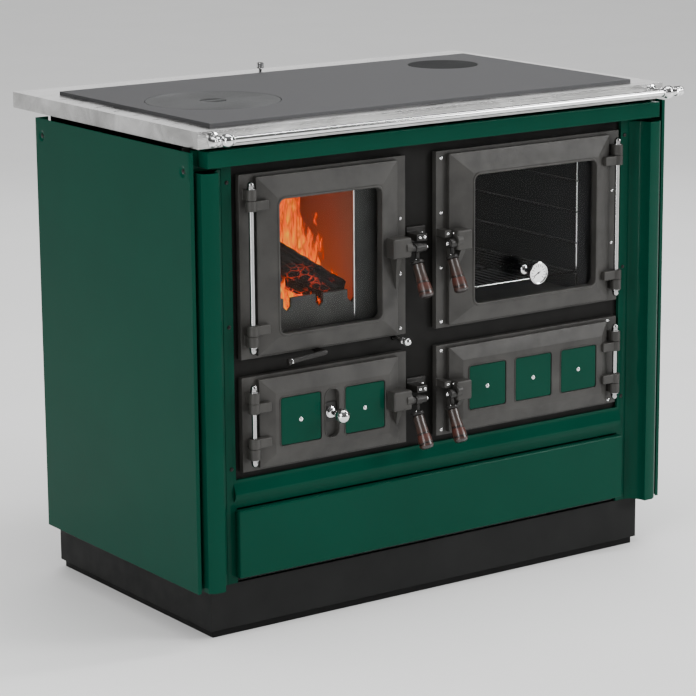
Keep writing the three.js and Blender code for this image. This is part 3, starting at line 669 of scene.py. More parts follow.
# --------------------------------------------------------------------------------------------- forms
class Form:
    """One piece while it is being shaped, in millimetres."""

    def __init__(self) -> None:
        """Starts with nothing."""
        self.bm = bmesh.new()

    def slab(self, box: Limits, radius: float = 0.0, segments: int = 2) -> list[Vert]:
        """Adds a block with rounded edges.

        Args:
            box: its limits.
            radius: of the rounding; 0 leaves it sharp.
            segments: of the rounding.

        Returns:
            The block's vertices before rounding, or an empty list if it was rounded.
        """
        size = Vector((box.x1 - box.x0, box.y1 - box.y0, box.z1 - box.z0))
        matrix = Matrix.Translation(box.middle) @ Matrix.Diagonal((*size, 1))
        verts = bmesh.ops.create_cube(self.bm, size=1, matrix=matrix)["verts"]
        if radius <= 0:
            return verts
        self.bevel({e for v in verts for e in v.link_edges}, radius, segments)
        return []

    def bevel(self, edges: Iterable[Edge], radius: float, segments: int = 2) -> None:
        """Rounds edges.

        Args:
            edges: which ones.
            radius: of the rounding.
            segments: of the rounding.
        """
        bmesh.ops.bevel(self.bm, geom=list(edges), offset=radius, segments=segments, profile=0.5,
                        affect="EDGES", clamp_overlap=True, material=-1)

    def bevel_sharp(self, radius: float, segments: int = 2, angle: float = 35.0) -> None:
        """Rounds every edge sharper than an angle.

        Args:
            radius: of the rounding.
            segments: of the rounding.
            angle: in degrees.
        """
        limit = math.radians(angle)
        edges = [e for e in self.bm.edges if len(e.link_faces) == 2 and e.calc_face_angle(0) > limit]
        self.bevel(edges, radius, segments)

    def turned(self, origin: Point, way: Point, profile: Profile, sides: int = 28,
               along: bool = False) -> list[Vert]:
        """Adds a turned shape.

        Args:
            origin: where height 0 is.
            way: direction of its axis.
            profile: pairs of radius and height.
            sides: round the axis.
            along: stores each point's share of the height in the "along" attribute.

        Returns:
            The vertices of the shape.
        """
        floats = self.bm.verts.layers.float
        layer = (floats.get("along") or floats.new("along")) if along else None
        verts = [self.bm.verts.new((r, 0, h)) for r, h in profile]
        edges = [self.bm.edges.new(pair) for pair in zip(verts, verts[1:])]
        before = set(self.bm.verts) - set(verts)
        bmesh.ops.spin(self.bm, geom=verts + edges, cent=(0, 0, 0), axis=(0, 0, 1), dvec=(0, 0, 0),
                       angle=2 * math.pi, steps=sides, use_merge=True, use_duplicate=False)
        made = [v for v in self.bm.verts if v not in before]
        bmesh.ops.remove_doubles(self.bm, verts=made, dist=1e-4)
        made = [v for v in self.bm.verts if v not in before]
        if along:
            low = min(h for _, h in profile)
            high = max(h for _, h in profile)
            for v in made:
                v[layer] = (v.co.z - low) / (high - low)
        bmesh.ops.transform(self.bm, matrix=Matrix.Translation(Vector(origin)) @ facing(way), verts=made)
        faces = {f for v in made for f in v.link_faces}
        bmesh.ops.recalc_face_normals(self.bm, faces=list(faces))
        return made

    def rod(self, start: Point, end: Point, radius: float, tip: float | None = None, sides: int = 24,
            edge: float = 0.0) -> None:
        """Adds a round bar between two points.

        Args:
            start: centre of its first end.
            end: centre of its other end.
            radius: at the first end.
            tip: radius at the other end, where it differs.
            sides: round the bar.
            edge: rounding of both ends.
        """
        length = (Vector(end) - Vector(start)).length
        r1 = radius if tip is None else tip
        if edge <= 0:
            profile = [(0, 0), (radius, 0), (r1, length), (0, length)]
        else:
            e = edge
            profile = [(0, 0), (radius - e, 0), (radius - e * 0.3, e * 0.3), (radius, e),
                       (r1, length - e), (r1 - e * 0.3, length - e * 0.3), (r1 - e, length), (0, length)]
        self.turned(start, Vector(end) - Vector(start), profile, sides)

    def tube(self, start: Point, end: Point, outer: float, inner: float, edge: float = 0.6,
             sides: int = 32) -> None:
        """Adds a sleeve between two points.

        Args:
            start: centre of its first end.
            end: centre of its other end.
            outer: outside radius.
            inner: radius of the bore.
            edge: rounding of the outer rims.
            sides: round the sleeve.
        """
        length = (Vector(end) - Vector(start)).length
        e = edge
        profile = [(inner, 0), (outer - e, 0), (outer - e * 0.3, e * 0.3), (outer, e), (outer, length - e),
                   (outer - e * 0.3, length - e * 0.3), (outer - e, length), (inner, length), (inner, 0)]
        self.turned(start, Vector(end) - Vector(start), profile, sides)

    def hexagon(self, origin: Point, way: Point, across: float, height: float) -> None:
        """Adds a six-sided nut blank with softened corners.

        Args:
            origin: centre of its foot.
            way: direction of its axis.
            across: its width over the corners.
            height: its length.
        """
        matrix = Matrix.Translation(Vector(origin)) @ facing(way) @ Matrix.Translation((0, 0, height / 2))
        verts = bmesh.ops.create_cone(self.bm, cap_ends=True, segments=6, radius1=across / 2,
                                      radius2=across / 2, depth=height, matrix=matrix)["verts"]
        self.bevel({e for v in verts for e in v.link_edges}, 0.5, 2)

    def screw(self, centre: Point, way: Point = Way.FRONT.value, radius: float = 3.4,
              dome: float = 0.6) -> None:
        """Adds a domed screw head with a driver's recess.

        Args:
            centre: on the surface that it sits on.
            way: where the head looks.
            radius: of the head.
            dome: its height as a share of the radius.
        """
        r, h = radius, radius * dome
        head = [(0, -0.3), (r, -0.3), (r, 0.1 * h), (r * 0.97, 0.25 * h), (r * 0.8, 0.63 * h),
                (r * 0.5, 0.93 * h), (r * 0.3, h), (r * 0.26, 0.7 * h), (0, 0.7 * h)]
        self.turned(centre, way, head, 16)

    def node(self, name: str) -> Form:
        """Takes in a merged copy of a node's solid, with its flat faces joined.

        Args:
            name: the node.

        Returns:
            The form itself.
        """
        self.bm.from_mesh(bpy.data.objects[name].data)
        bmesh.ops.scale(self.bm, vec=(1 / MM,) * 3, verts=self.bm.verts)
        bmesh.ops.remove_doubles(self.bm, verts=self.bm.verts, dist=0.005)
        bmesh.ops.dissolve_limit(self.bm, angle_limit=math.radians(1.0), verts=self.bm.verts,
                                 edges=self.bm.edges)
        bmesh.ops.connect_verts_concave(self.bm, faces=self.bm.faces[:])
        return self

    def oblong(self, x0: float, x1: float, z0: float, z1: float, y: float, radius: float) -> list[Edge]:
        """Adds a round-cornered rectangular loop in a plane of constant Y.

        Args:
            x0: left side.
            x1: right side.
            z0: bottom.
            z1: top.
            y: the plane.
            radius: of the corners.

        Returns:
            The loop's edges.
        """
        before = set(self.bm.verts)
        made = bmesh.ops.create_grid(self.bm, x_segments=1, y_segments=1, size=1)["verts"]
        for v in made:
            v.co = Vector((x0 if v.co.x < 0 else x1, y, z0 if v.co.y < 0 else z1))
        bmesh.ops.bevel(self.bm, geom=made, offset=radius, segments=5, profile=0.5, affect="VERTICES",
                        clamp_overlap=True, material=-1)
        made = [v for v in self.bm.verts if v not in before]
        faces = list({f for v in made for f in v.link_faces})
        bmesh.ops.delete(self.bm, geom=faces, context="FACES_ONLY")
        return list({e for v in made for e in v.link_edges})

    def ring(self, outer: list[Edge], inner: list[Edge]) -> None:
        """Fills the flat ring between two loops of one plane."""
        bmesh.ops.triangle_fill(self.bm, use_beauty=True, edges=outer + inner, normal=(0, -1, 0))

    def stepped(self, loop: list[Edge], hole: Limits, radius: float,
                steps: Profile) -> list[Edge]:
        """Draws a round-cornered loop inwards, one step after another.

        Args:
            loop: the first edges.
            hole: the rectangle that the steps are measured from.
            radius: of that rectangle's corners.
            steps: pairs of distance out from the rectangle and Y.

        Returns:
            The edges of the last step.
        """
        for out, y in steps:
            made = bmesh.ops.extrude_edge_only(self.bm, edges=loop)["geom"]
            verts = {g for g in made if isinstance(g, Vert)}
            loop = [g for g in made if isinstance(g, Edge) and set(g.verts) <= verts]
            for v in verts:
                core = Vector((min(max(v.co.x, hole.x0 + radius), hole.x1 - radius), 0,
                               min(max(v.co.z, hole.z0 + radius), hole.z1 - radius)))
                away = Vector((v.co.x - core.x, 0, v.co.z - core.z)).normalized()
                v.co = core + away * (radius + out) + Vector((0, y, 0))
        return loop

    def piece(self, name: str, body: str, slot: str, finish: Finish, *nodes: str,
              smooth: float = 35.0) -> None:
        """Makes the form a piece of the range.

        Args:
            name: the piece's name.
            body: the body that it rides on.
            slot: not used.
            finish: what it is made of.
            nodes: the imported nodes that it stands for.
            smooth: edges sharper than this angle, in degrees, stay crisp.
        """
        bmesh.ops.scale(self.bm, vec=(MM,) * 3, verts=self.bm.verts)
        mesh = bpy.data.meshes.new(name)
        self.bm.to_mesh(mesh)
        self.bm.free()
        mesh.shade_smooth()
        mesh.set_sharp_from_angle(angle=math.radians(smooth))
        mesh.materials.append(finish.material())
        made = bpy.data.objects.new(name, mesh)
        bpy.context.scene.collection.objects.link(made)
        weighted = made.modifiers.new("weighted", "WEIGHTED_NORMAL")
        weighted.keep_sharp = True
        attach(made, body)
        if nodes:
            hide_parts(*nodes)
        LOG.info("%s: %d faces on %s", name, len(mesh.polygons), body)


def softened(node: str, body: str, slot: str, finish: Finish, radius: float = 0.8,
             segments: int = 2) -> None:
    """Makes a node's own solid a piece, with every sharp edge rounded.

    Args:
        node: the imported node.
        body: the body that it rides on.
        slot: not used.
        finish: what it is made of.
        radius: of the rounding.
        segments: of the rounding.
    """
    form = Form().node(node)
    form.bevel_sharp(radius, segments)
    form.piece(f"{node}_shell", body, slot, finish, node)


# ------------------------------------------------------------------------------------------- cabinet
@dataclass
class Cabinet:
    """The enamelled box on its plinth: panels, posts, front frame, rails and sheets."""

    dimple_radius: float = 10.0
    dimple_depth: float = 1.7
    dish: Profile = ((1.0, 0.0), (0.86, 0.25), (0.7, 0.75), (0.55, 1.0))
    side_screws: Profile = ((210.5, 788.0), (-247.5, 785.0))
    frame_screws: tuple[float, ...] = (760.0, 523.0, 285.0)
    frame_screw_x: float = 417.0
    frame_face: float = -252.5
    back_pitch: tuple[int, int] = (160, 130)
    back_margin: float = 14.0
    body: str = "cabinet"

    def build(self) -> None:
        """Builds every fixed outer part."""
        softened("plinth", self.body, "grey_sheet", PLINTH_GREY, 1.0)
        softened("base_pan", self.body, "grey_sheet", SHEET_GREY, 0.5)
        for side in Side:
            self.side_panel(side)
            softened(f"{side.name.lower()}_corner_post", self.body, "enamel", GREEN, 1.1, 3)
        softened("front_frame", self.body, "enamel", GREEN, 0.9, 3)
        softened("top_rail", self.body, "enamel", GREEN, 1.7, 4)
        softened("front_plate", self.body, "black_plate", FRONT_BLACK, 0.5)
        self.back_panel()
        self.screws()

    def side_panel(self, side: Side) -> None:
        """One folded side sheet with its screws in pressed dimples.

        Args:
            side: where it is.
        """
        node = f"{side.name.lower()}_side_panel"
        box = limits(node)
        sign = side.value
        outer = box.x0 if side is Side.LEFT else box.x1
        form = Form().node(node)
        form.bevel_sharp(0.7, 3)
        heads = Form()
        for y, z in self.side_screws:
            self.dimple(form, Vector((outer, y, z)), sign)
            heads.screw((outer - sign * (self.dimple_depth - 0.1), y, z), (sign, 0, 0), 4.2, 0.32)
        form.piece(f"{node}_shell", self.body, "enamel", GREEN, node)
        heads.piece(f"{side.name.lower()}_panel_screws", self.body, "chrome", DARK_IRON)

    def dimple(self, form: Form, centre: Vector, sign: int) -> None:
        """Presses one round dish into a side sheet.

        Args:
            form: the sheet.
            centre: of the dish, on the outer face.
            sign: which way the face looks along X.
        """
        bm = form.bm
        half = self.dimple_radius * 1.4
        for axis in (1, 2):
            for way in (-1, 1):
                normal = [0, 0, 0]
                normal[axis] = 1
                at = centre.copy()
                at[axis] += way * half
                faces = [f for f in bm.faces
                         if f.normal.x * sign > 0.99 and abs(f.calc_center_median().x - centre.x) < 0.2]
                edges = {e for f in faces for e in f.edges}
                verts = {v for f in faces for v in f.verts}
                bmesh.ops.bisect_plane(bm, geom=[*verts, *edges, *faces], plane_co=at, plane_no=normal,
                                       dist=1e-4)
        tile = min((f for f in bm.faces if f.normal.x * sign > 0.99),
                   key=lambda f: (f.calc_center_median() - centre).length)
        rim = list(tile.edges)
        bmesh.ops.delete(bm, geom=[tile], context="FACES_ONLY")
        cut = bmesh.ops.subdivide_edges(bm, edges=rim, cuts=7)["geom_inner"]
        square = [e for e in {e for v in cut if isinstance(v, Vert) for e in v.link_edges} if e.is_boundary]
        loops = []
        for radius, depth in self.dish:
            at = centre - Vector((sign * depth * self.dimple_depth, 0, 0))
            place = Matrix.Translation(at) @ Matrix.Rotation(math.pi / 2, 4, "Y")
            made = bmesh.ops.create_circle(bm, cap_ends=False, segments=32, matrix=place,
                                           radius=self.dimple_radius * radius)["verts"]
            loops.append(list({e for v in made for e in v.link_edges}))
        chain = [square, *loops]
        for a, b in zip(chain, chain[1:]):
            bmesh.ops.bridge_loops(bm, edges=a + b)
        bmesh.ops.contextual_create(bm, geom=loops[-1])
        bmesh.ops.recalc_face_normals(bm, faces=bm.faces)

    def back_panel(self) -> None:
        """The rear sheet and the screws round its edge."""
        softened("back_panel", self.body, "black_plate", FRONT_BLACK, 0.4)
        box = limits("back_panel")
        screws = Form()
        across, up = self.back_pitch
        margin = self.back_margin
        rows = [(x, z) for z in range(up, round(box.z1), up) for x in (box.x0 + margin, box.x1 - margin)]
        rows += [(i * across, z) for i in range(-2, 3) for z in (box.z0 + margin, box.z1 - margin + 2)]
        for x, z in rows:
            screws.screw((x, box.y1, z), Way.Y.value, 4.0)
        screws.piece("back_screws", self.body, "chrome", CHROME)

    def screws(self) -> None:
        """The dark screws that hold the front frame beside the doors."""
        screws = Form()
        for z in self.frame_screws:
            for x in (-self.frame_screw_x, self.frame_screw_x):
                screws.screw((x, self.frame_face, z), Way.FRONT.value, 3.6)
        screws.piece("front_frame_screws", self.body, "black_plate", DARK_IRON)


@dataclass
class WoodDrawer:
    """The wide low drawer under the doors."""

    body: str = "wood_drawer"
    edge: float = 3.0
    sheet: float = 1.6

    def build(self) -> None:
        """Builds the pressed front and the box behind it."""
        form = Form()
        form.slab(limits("wood_drawer_front"))
        back = max(form.bm.faces, key=lambda f: f.calc_center_median().y)
        bmesh.ops.delete(form.bm, geom=[back], context="FACES_ONLY")
        form.bevel([e for e in form.bm.edges if not e.is_boundary], self.edge, 4)
        bmesh.ops.solidify(form.bm, geom=form.bm.faces[:], thickness=self.sheet)
        bmesh.ops.recalc_face_normals(form.bm, faces=form.bm.faces)
        form.piece("wood_drawer_front_shell", self.body, "enamel", GREEN, "wood_drawer_front")
        softened("wood_drawer_box", self.body, "grey_sheet", SHEET_GREY, 0.5)


# ----------------------------------------------------------------------------------------------- top
@dataclass
class Worktop:
    """The brushed surround, the hob plate with its two lids, and the rail in front."""

    body: str = "cabinet"
    rail_radius: float = 5.6
    rail_end: Profile = ((0, 0), (4, 0), (7.2, 1.2), (8.6, 3.6), (8.8, 6.5), (8.0, 8), (6.6, 8.6), (6.6, 10),
                         (8.6, 10.8), (8.9, 13), (8.6, 15.4), (6.8, 16.6), (5.6, 20))
    flange: Profile = ((0, 0), (10.4, 0), (10.8, 1.2), (10.2, 2.8), (8.2, 3.4), (8.0, 4.6), (5.8, 6.2),
                       (4.9, 10))
    neck: Profile = ((4.9, 22), (5.6, 19), (7.4, 17.5), (7.4, 15), (5.6, 13), (5.4, 6))
    ball_half: Profile = ((6, 0), (7.6, 0.4), (8.0, 2), (7.4, 3.4), (8.8, 4.6), (10.6, 7.2), (11.3, 10))
    ball: tuple[float, float] = (11.5, 12.0)
    lid_tones: tuple[tuple[str, Colour], ...] = (("large", (0.075, 0.076, 0.077)),
                                                 ("small", (0.0135, 0.014, 0.0145)))

    def build(self) -> None:
        """Builds the top of the range."""
        softened("top_frame", self.body, "stainless", STEEL, 1.4, 3)
        softened("hob_plate", self.body, "hob_iron", HOB, 0.9)
        for name, tone in self.lid_tones:
            node = f"hob_lid_{name}"
            centre = limits(node).middle
            finish = GroundIron(f"lid_iron_{name}", tone, (centre.x * MM, centre.y * MM, 0))
            softened(node, f"{name}_hob_lid", "hob_iron", finish, 1.0)
        self.rail()

    def rail(self) -> None:
        """The bar with its turned ends and two turned brackets."""
        rail = limits("guard_rail")
        y, z = rail.middle.y, rail.middle.z
        form = Form()
        form.rod((rail.x0 + 8, y, z), (rail.x1 - 8, y, z), self.rail_radius, sides=32)
        for side, x in ((Side.LEFT, rail.x0), (Side.RIGHT, rail.x1)):
            form.turned((x, y, z), (-side.value, 0, 0), self.rail_end, 32)
        form.piece("guard_rail_bar", self.body, "chrome", CHROME, "guard_rail")
        radius, half = self.ball
        sphere = [*self.ball_half, (radius, half), *((r, 2 * half - h) for r, h in reversed(self.ball_half))]
        for side in Side:
            node = f"rail_bracket_{side.name.lower()}"
            box = limits(node)
            x, wall = box.middle.x, box.y1
            reach = wall - y
            bracket = Form()
            stem = [*self.flange, *((r, reach - h) for r, h in self.neck)]
            bracket.turned((x, wall, z - 2), (0, -1, 0.02), stem, 32)
            bracket.turned((x - half, y, z), (1, 0, 0), sphere, 32)
            bracket.piece(f"{node}_turned", self.body, "chrome", CHROME, node)


# --------------------------------------------------------------------------------------------- doors
@dataclass
class CastDoor:
    """One cast door with its frame, hinge and latch."""

    name: str
    side: Side
    row: Row
    window: tuple[float, float, float, float]
    panels: Profile = ()
    panel_heights: tuple[float, float] = (314.0, 397.0)
    slot: Profile = ()
    frame_screws: Profile = ()
    edge_height: float = 8.0
    face_rise: float = 15.0
    bead: float = 4.0
    corner: float = 11.0
    margins: tuple[float, float] = (28.0, 22.0)
    knuckle: tuple[float, float] = (41.5, 58.5)
    seal_margin: float = 14.0
    axle_y: float = -284.5
    lean: float = 27.0
    grip_length: float = 59.0
    collar: Profile = ((6, 0), (7.6, 0.4), (8.0, 2), (8.0, 12), (7.6, 13.6), (6, 14))
    ferrule: Profile = ((0, 0), (9.6, 0), (11.0, 0.8), (11.4, 2.4), (11.0, 4.2), (9.8, 5.4), (0, 5.4))
    tip: Profile = ((0, -1), (3.4, -1), (3.4, 2.2), (2.8, 3.4), (1.4, 4.4), (0, 4.7))
    washer: Profile = ((0, 0), (7.4, 0), (7.4, 1.0), (6.4, 1.4), (0, 1.4))
    acorn: Profile = ((0, 0), (5.6, 0), (5.7, 1.6), (5.2, 3.6), (3.9, 5.4), (2.0, 6.5), (0, 6.9))
    grip_shape: Profile = (
        (8.2, 0.0), (9.3, 0.02), (9.6, 0.10), (9.4, 0.25), (9.9, 0.40), (10.5, 0.50), (10.6, 0.535),
        (10.1, 0.545), (10.1, 0.56), (10.9, 0.57), (11.7, 0.68), (12.2, 0.79), (12.2, 0.815), (11.7, 0.825),
        (11.7, 0.845), (12.3, 0.855), (12.2, 0.91), (11.4, 0.95), (9.6, 0.98), (6.5, 0.995), (0.0, 1.0))
    cabinet: str = "cabinet"
    box: Limits = field(init=False)
    plate: Limits = field(init=False)
    frame: Limits = field(init=False)

    def build(self) -> None:
        """Builds the door and everything that holds or moves it."""
        self.box = limits(f"{self.name}_door")
        self.frame = limits(f"{self.name}_door_frame")
        x0, x1 = self.frame.x0, self.frame.x1
        left, right = self.margins if self.side is Side.LEFT else reversed(self.margins)
        front, back = self.frame_front - self.edge_height, self.box.y1
        self.plate = Limits(x0 + left, x1 - right, front, back, self.box.z0, self.box.z1)
        softened(f"{self.name}_door_frame", self.cabinet, "cast_iron", IRON, 1.1)
        self.cast()
        self.hinge()
        self.latch()
        self.seal()
        if self.frame_screws:
            heads = Form()
            for x, z in self.frame_screws:
                heads.screw((x, self.frame_front, z))
            heads.piece(f"{self.name}_frame_screws", self.cabinet, "chrome", CHROME)

    @property
    def frame_front(self) -> float:
        """The front face of the frame's flange."""
        return self.box.y1 + 0.3

    @property
    def face(self) -> float:
        """The plane of the raised face."""
        return self.frame_front - self.face_rise

    @property
    def door_body(self) -> str:
        """The body that the door rides on."""
        return f"{self.name}_door"

    @property
    def latch_end(self) -> float:
        """The X of the plate's edge at the latch."""
        return self.plate.x1 if self.side is Side.LEFT else self.plate.x0

    def cast(self) -> None:
        """The sloping plate with its window or panels, its hinge straps and its latch lug."""
        form = Form()
        x0, x1, z0, z1 = self.window
        p = self.plate
        form.slab(p)
        front = min(form.bm.faces, key=lambda f: f.calc_center_median().y)
        grown = bmesh.ops.extrude_face_region(form.bm, geom=[front])["geom"]
        lap = self.bead + 1.0
        for v in (g for g in grown if isinstance(g, Vert)):
            v.co.x = (x0 - lap) if v.co.x < p.middle.x else (x1 + lap)
            v.co.z = (z0 - lap) if v.co.z < p.middle.z else (z1 + lap)
            v.co.y = self.face
        bmesh.ops.delete(form.bm, geom=[front] if front.is_valid else [], context="FACES_ONLY")
        form.bevel_sharp(0.9, 2, 12)
        if self.panels:
            self.sink_panels(form)
        else:
            self.pierce(form, min(form.bm.faces, key=lambda f: f.calc_center_median().y))
        self.straps(form)
        self.lug(form)
        form.piece(f"{self.name}_door_casting", self.door_body, "cast_iron", IRON, f"{self.name}_door")
        if self.panels:
            self.enamel_panels()
        else:
            self.pane()

    def pierce(self, form: Form, flat: bmesh.types.BMFace) -> None:
        """Opens the window through the plate, with a raised bead round it.

        Args:
            form: the plate.
            flat: its raised face.
        """
        x0, x1, z0, z1 = self.window
        back = max(form.bm.faces, key=lambda f: f.calc_center_median().y)
        outer, rear = list(flat.edges), list(back.edges)
        bmesh.ops.delete(form.bm, geom=[flat, back], context="FACES_ONLY")
        top = self.face - 1.7
        w = self.bead
        loop = form.oblong(x0 - w, x1 + w, z0 - w, z1 + w, self.face, self.corner + w)
        form.ring(outer, loop)
        steps = ((w * 0.82, top + 0.3), (w * 0.55, top), (w * 0.25, top), (0.25, top + 0.35),
                 (0.0, top + 1.2), (0.0, self.plate.y1))
        loop = form.stepped(loop, Limits(x0, x1, 0, 0, z0, z1), self.corner, steps)
        form.ring(rear, loop)
        bmesh.ops.recalc_face_normals(form.bm, faces=form.bm.faces)

    def sink_panels(self, form: Form) -> None:
        """Sinks one recess for each enamel panel, and the slot of the air slider.

        Args:
            form: the plate.
        """
        bm = form.bm
        xs = sorted(x for pair in (*self.panels, *self.slot) for x in pair)
        zs = self.panel_heights
        for axis, values in ((0, xs), (2, zs)):
            for value in values:
                faces = [f for f in bm.faces if abs(f.calc_center_median().y - self.face) < 0.01]
                geom = [*{v for f in faces for v in f.verts}, *{e for f in faces for e in f.edges}, *faces]
                normal, at = Vector(), Vector()
                normal[axis], at[axis] = 1, value
                bmesh.ops.bisect_plane(bm, geom=geom, plane_co=at, plane_no=normal, dist=1e-5)
        wells = [(pair, 3.0, 5.0) for pair in self.panels] + [(pair, 8.9, 12.0) for pair in self.slot]
        for (a, b), depth, radius in wells:
            centre = Vector(((a + b) / 2, self.face, sum(zs) / 2))
            face = min(bm.faces, key=lambda f: (f.calc_center_median() - centre).length)
            rim = list(face.edges)
            bmesh.ops.delete(bm, geom=[face], context="FACES_ONLY")
            hole = Limits(a + 2.4, b - 2.4, 0, 0, zs[0] + 2.4, zs[1] - 2.4)
            loop = form.oblong(a + 0.4, b - 0.4, zs[0] + 0.4, zs[1] - 0.4, self.face, radius + 2)
            form.ring(rim, loop)
            drops = ((1.7, -1.0), (0.6, -1.0), (0.0, -0.4), (0.0, depth))
            loop = form.stepped(loop, hole, radius, [(out, self.face + y) for out, y in drops])
            bmesh.ops.contextual_create(bm, geom=loop)
        bmesh.ops.recalc_face_normals(bm, faces=bm.faces)

    def enamel_panels(self) -> None:
        """The green tiles, each held by one chrome screw."""
        low, high = self.panel_heights
        gap = 3.6
        tiles, screws = Form(), Form()
        for a, b in self.panels:
            box = Limits(a + gap, b - gap, self.face + 0.4, self.face + 2.9, low + gap, high - gap)
            verts = tiles.slab(box)
            corners = [e for e in {e for v in verts for e in v.link_edges}
                       if abs((e.verts[0].co - e.verts[1].co).normalized().y) > 0.9]
            tiles.bevel(corners, 4.0, 4)
            screws.screw(((a + b) / 2, self.face + 0.4, (low + high) / 2 - 1), radius=4.0)
        tiles.bevel_sharp(0.6, 2, 60)
        tiles.piece(f"{self.name}_tiles", self.door_body, "enamel", GREEN)
        screws.piece(f"{self.name}_tile_screws", self.door_body, "chrome", CHROME)

    def pane(self) -> None:
        """The glass in its rebate behind the window."""
        node = f"{self.name}_glass"
        form = Form()
        form.slab(limits(node), 0.5, 2)
        form.piece(f"{self.name}_pane", self.door_body, "glass", PANE, node)

    def straps(self, form: Form) -> None:
        """The door's two knuckles and the straps that carry them.

        Args:
            form: the casting that they join.
        """
        rod = limits(f"{self.name}_hinge_rod")
        x, y = rod.middle.x, rod.middle.y
        near, far = self.knuckle
        foot, head = self.frame.z0, self.frame.z1
        for a, b in ((foot + near, foot + far), (head - far, head - near)):
            form.tube((x, y, a), (x, y, b), 9.6, 5.0, 0.9)
            ends = sorted((x - self.side.value * 6, x - self.side.value * 31))
            form.slab(Limits(*ends, y - 6.2, self.plate.y0 + 1, a + 0.6, b - 0.6), 1.6, 3)

    def lug(self, form: Form) -> None:
        """The lug of the latch, with the gusset that runs down the casting below it.

        Args:
            form: the casting that they join.
        """
        y, z, s, end = self.axle_y, self.row.value, self.side.value, self.latch_end
        left = self.side is Side.LEFT
        ends = sorted((end + s * 28, end - s * (9 if left else 3)))
        form.slab(Limits(*ends, y - 8.5, self.plate.y0 + 1, z - 13, z + 21), 3.2, 3)
        mouth = end - s * (4 if left else -2)
        form.tube((mouth - 6, y - 1.5, z + 4), (mouth + 6, y - 1.5, z + 4), 10.0, 7.2, 1.2)
        fall = 62.0 if self.row is Row.UPPER else 34.0
        head, foot = end + s * 14, end + s * 3
        verts = form.slab(Limits(head - 6, head + 6, y - 5, self.plate.y0 + 0.5, z - 10 - fall, z - 8))
        for v in verts:
            if v.co.z < z - 20:
                v.co.x = foot + (2.0 if v.co.x > head else -2.0)
                v.co.y = self.plate.y0 - 0.5 if v.co.y < self.plate.y0 - 2 else v.co.y
        form.bevel({e for v in verts for e in v.link_edges}, 1.2, 2)

    def hinge(self) -> None:
        """The bright rod with an acorn nut at each end."""
        node = f"{self.name}_hinge_rod"
        box = limits(node)
        x, y = box.middle.x, box.middle.y
        form = Form()
        form.rod((x, y, box.z0 + 10), (x, y, box.z1 - 10), 4.3, sides=24)
        for z, way in ((self.frame.z0 + 22.7, Way.DOWN.value), (self.frame.z1 - 22.7, Way.Z.value)):
            form.turned((x, y, z), way, self.washer, 24)
            form.hexagon((x, y, z + way[2] * 1.2), way, 12.6, 4.6)
            form.turned((x, y, z + way[2] * 5.6), way, self.acorn, 24)
        form.piece(f"{self.name}_hinge_pin", self.cabinet, "chrome", ROD_CHROME, node)

    def latch(self) -> None:
        """The turning latch, its grip, and the catch that it hooks behind."""
        body = f"{self.name}_latch"
        y, z, s, end = self.axle_y, self.row.value, self.side.value, self.latch_end
        stem, tip = (end + 26, end + 43) if self.side is Side.LEFT else (end - 9, end - 18)
        iron, bright = Form(), Form()
        a, b = sorted((end + s * 26, tip))
        iron.rod((a, y, z), (b, y, z), 6.3, sides=28, edge=1.0)
        iron.turned((stem - 7, y, z), Way.X.value, self.collar, 28)
        iron.rod((stem, y, z), (stem, y - 0.5, z - 24), 3.6, 3.2, 20)
        lean = Vector((0, -math.sin(math.radians(self.lean)), -math.cos(math.radians(self.lean))))
        root = Vector((stem, y, z - 25))
        iron.turned(root - lean * 3.2, lean, self.ferrule, 32)
        iron.piece(f"{self.name}_latch_iron", body, "dark_steel", DARK_IRON, body)
        bright.turned((tip, y, z), (-s, 0, 0), self.tip, 20)
        bright.turned(root - lean * 4.6, lean, [(0, 0), (4.6, 0), (4.6, 1.6), (0, 1.6)], 20)
        bright.piece(f"{self.name}_latch_tip", body, "chrome", CHROME)
        grip = Form()
        shape = [(0, 0), *((r, share * self.grip_length) for r, share in self.grip_shape)]
        grip.turned(root + lean * 2.9, lean, shape, 32, along=True)
        grip.piece(f"{self.name}_grip_wood", body, "handle_wood", WOOD, f"{self.name}_grip")
        self.catch(z)

    def catch(self, z: float) -> None:
        """The hook on the cabinet above the latch, and its bright screws.

        Args:
            z: the latch's height.
        """
        screws = Form()
        if self.side is Side.RIGHT:
            for x in (self.frame.x0 + 8, self.frame.x0 + 21):
                screws.screw((x, -280.4, z + 15.5), Way.FRONT.value, 3.0)
        else:
            node = f"{self.name}_catch"
            box = limits(node)
            softened(node, self.cabinet, "cast_iron", DARK_IRON, 1.3, 3)
            for x in (box.x0 + 7, box.x0 + 17):
                screws.screw((x, box.y0, z + 15.5), Way.FRONT.value, 3.0)
            screws.screw((box.x1 - 7, box.y1 - 5, z + 16), Way.FRONT.value, 3.4)
        screws.piece(f"{self.name}_catch_screws", self.cabinet, "chrome", CHROME)

    def seal(self) -> None:
        """The rope seal along the back of the door, inside the frame's hole."""
        p, m = self.plate, self.seal_margin
        guide, form = Form(), Form()
        path = walk(guide.oblong(p.x0 + m, p.x1 - m, p.z0 + m, p.z1 - m, p.y1 + 0.4, 12.0))
        guide.bm.free()
        loop_tube(form, path, 2.6, 8)
        form.piece(f"{self.name}_rope_seal", self.door_body, "black_iron", ROPE)


def walk(edges: Sequence[Edge]) -> list[Vector]:
    """Follows a closed loop of edges.

    Args:
        edges: the loop's edges, in any order.

    Returns:
        Its points, in order.
    """
    left = set(edges)
    edge = left.pop()
    at = edge.verts[1]
    path = [edge.verts[0].co.copy(), at.co.copy()]
    while len(left) > 1:
        edge = next(e for e in at.link_edges if e in left)
        left.remove(edge)
        at = edge.other_vert(at)
        path.append(at.co.copy())
    return path


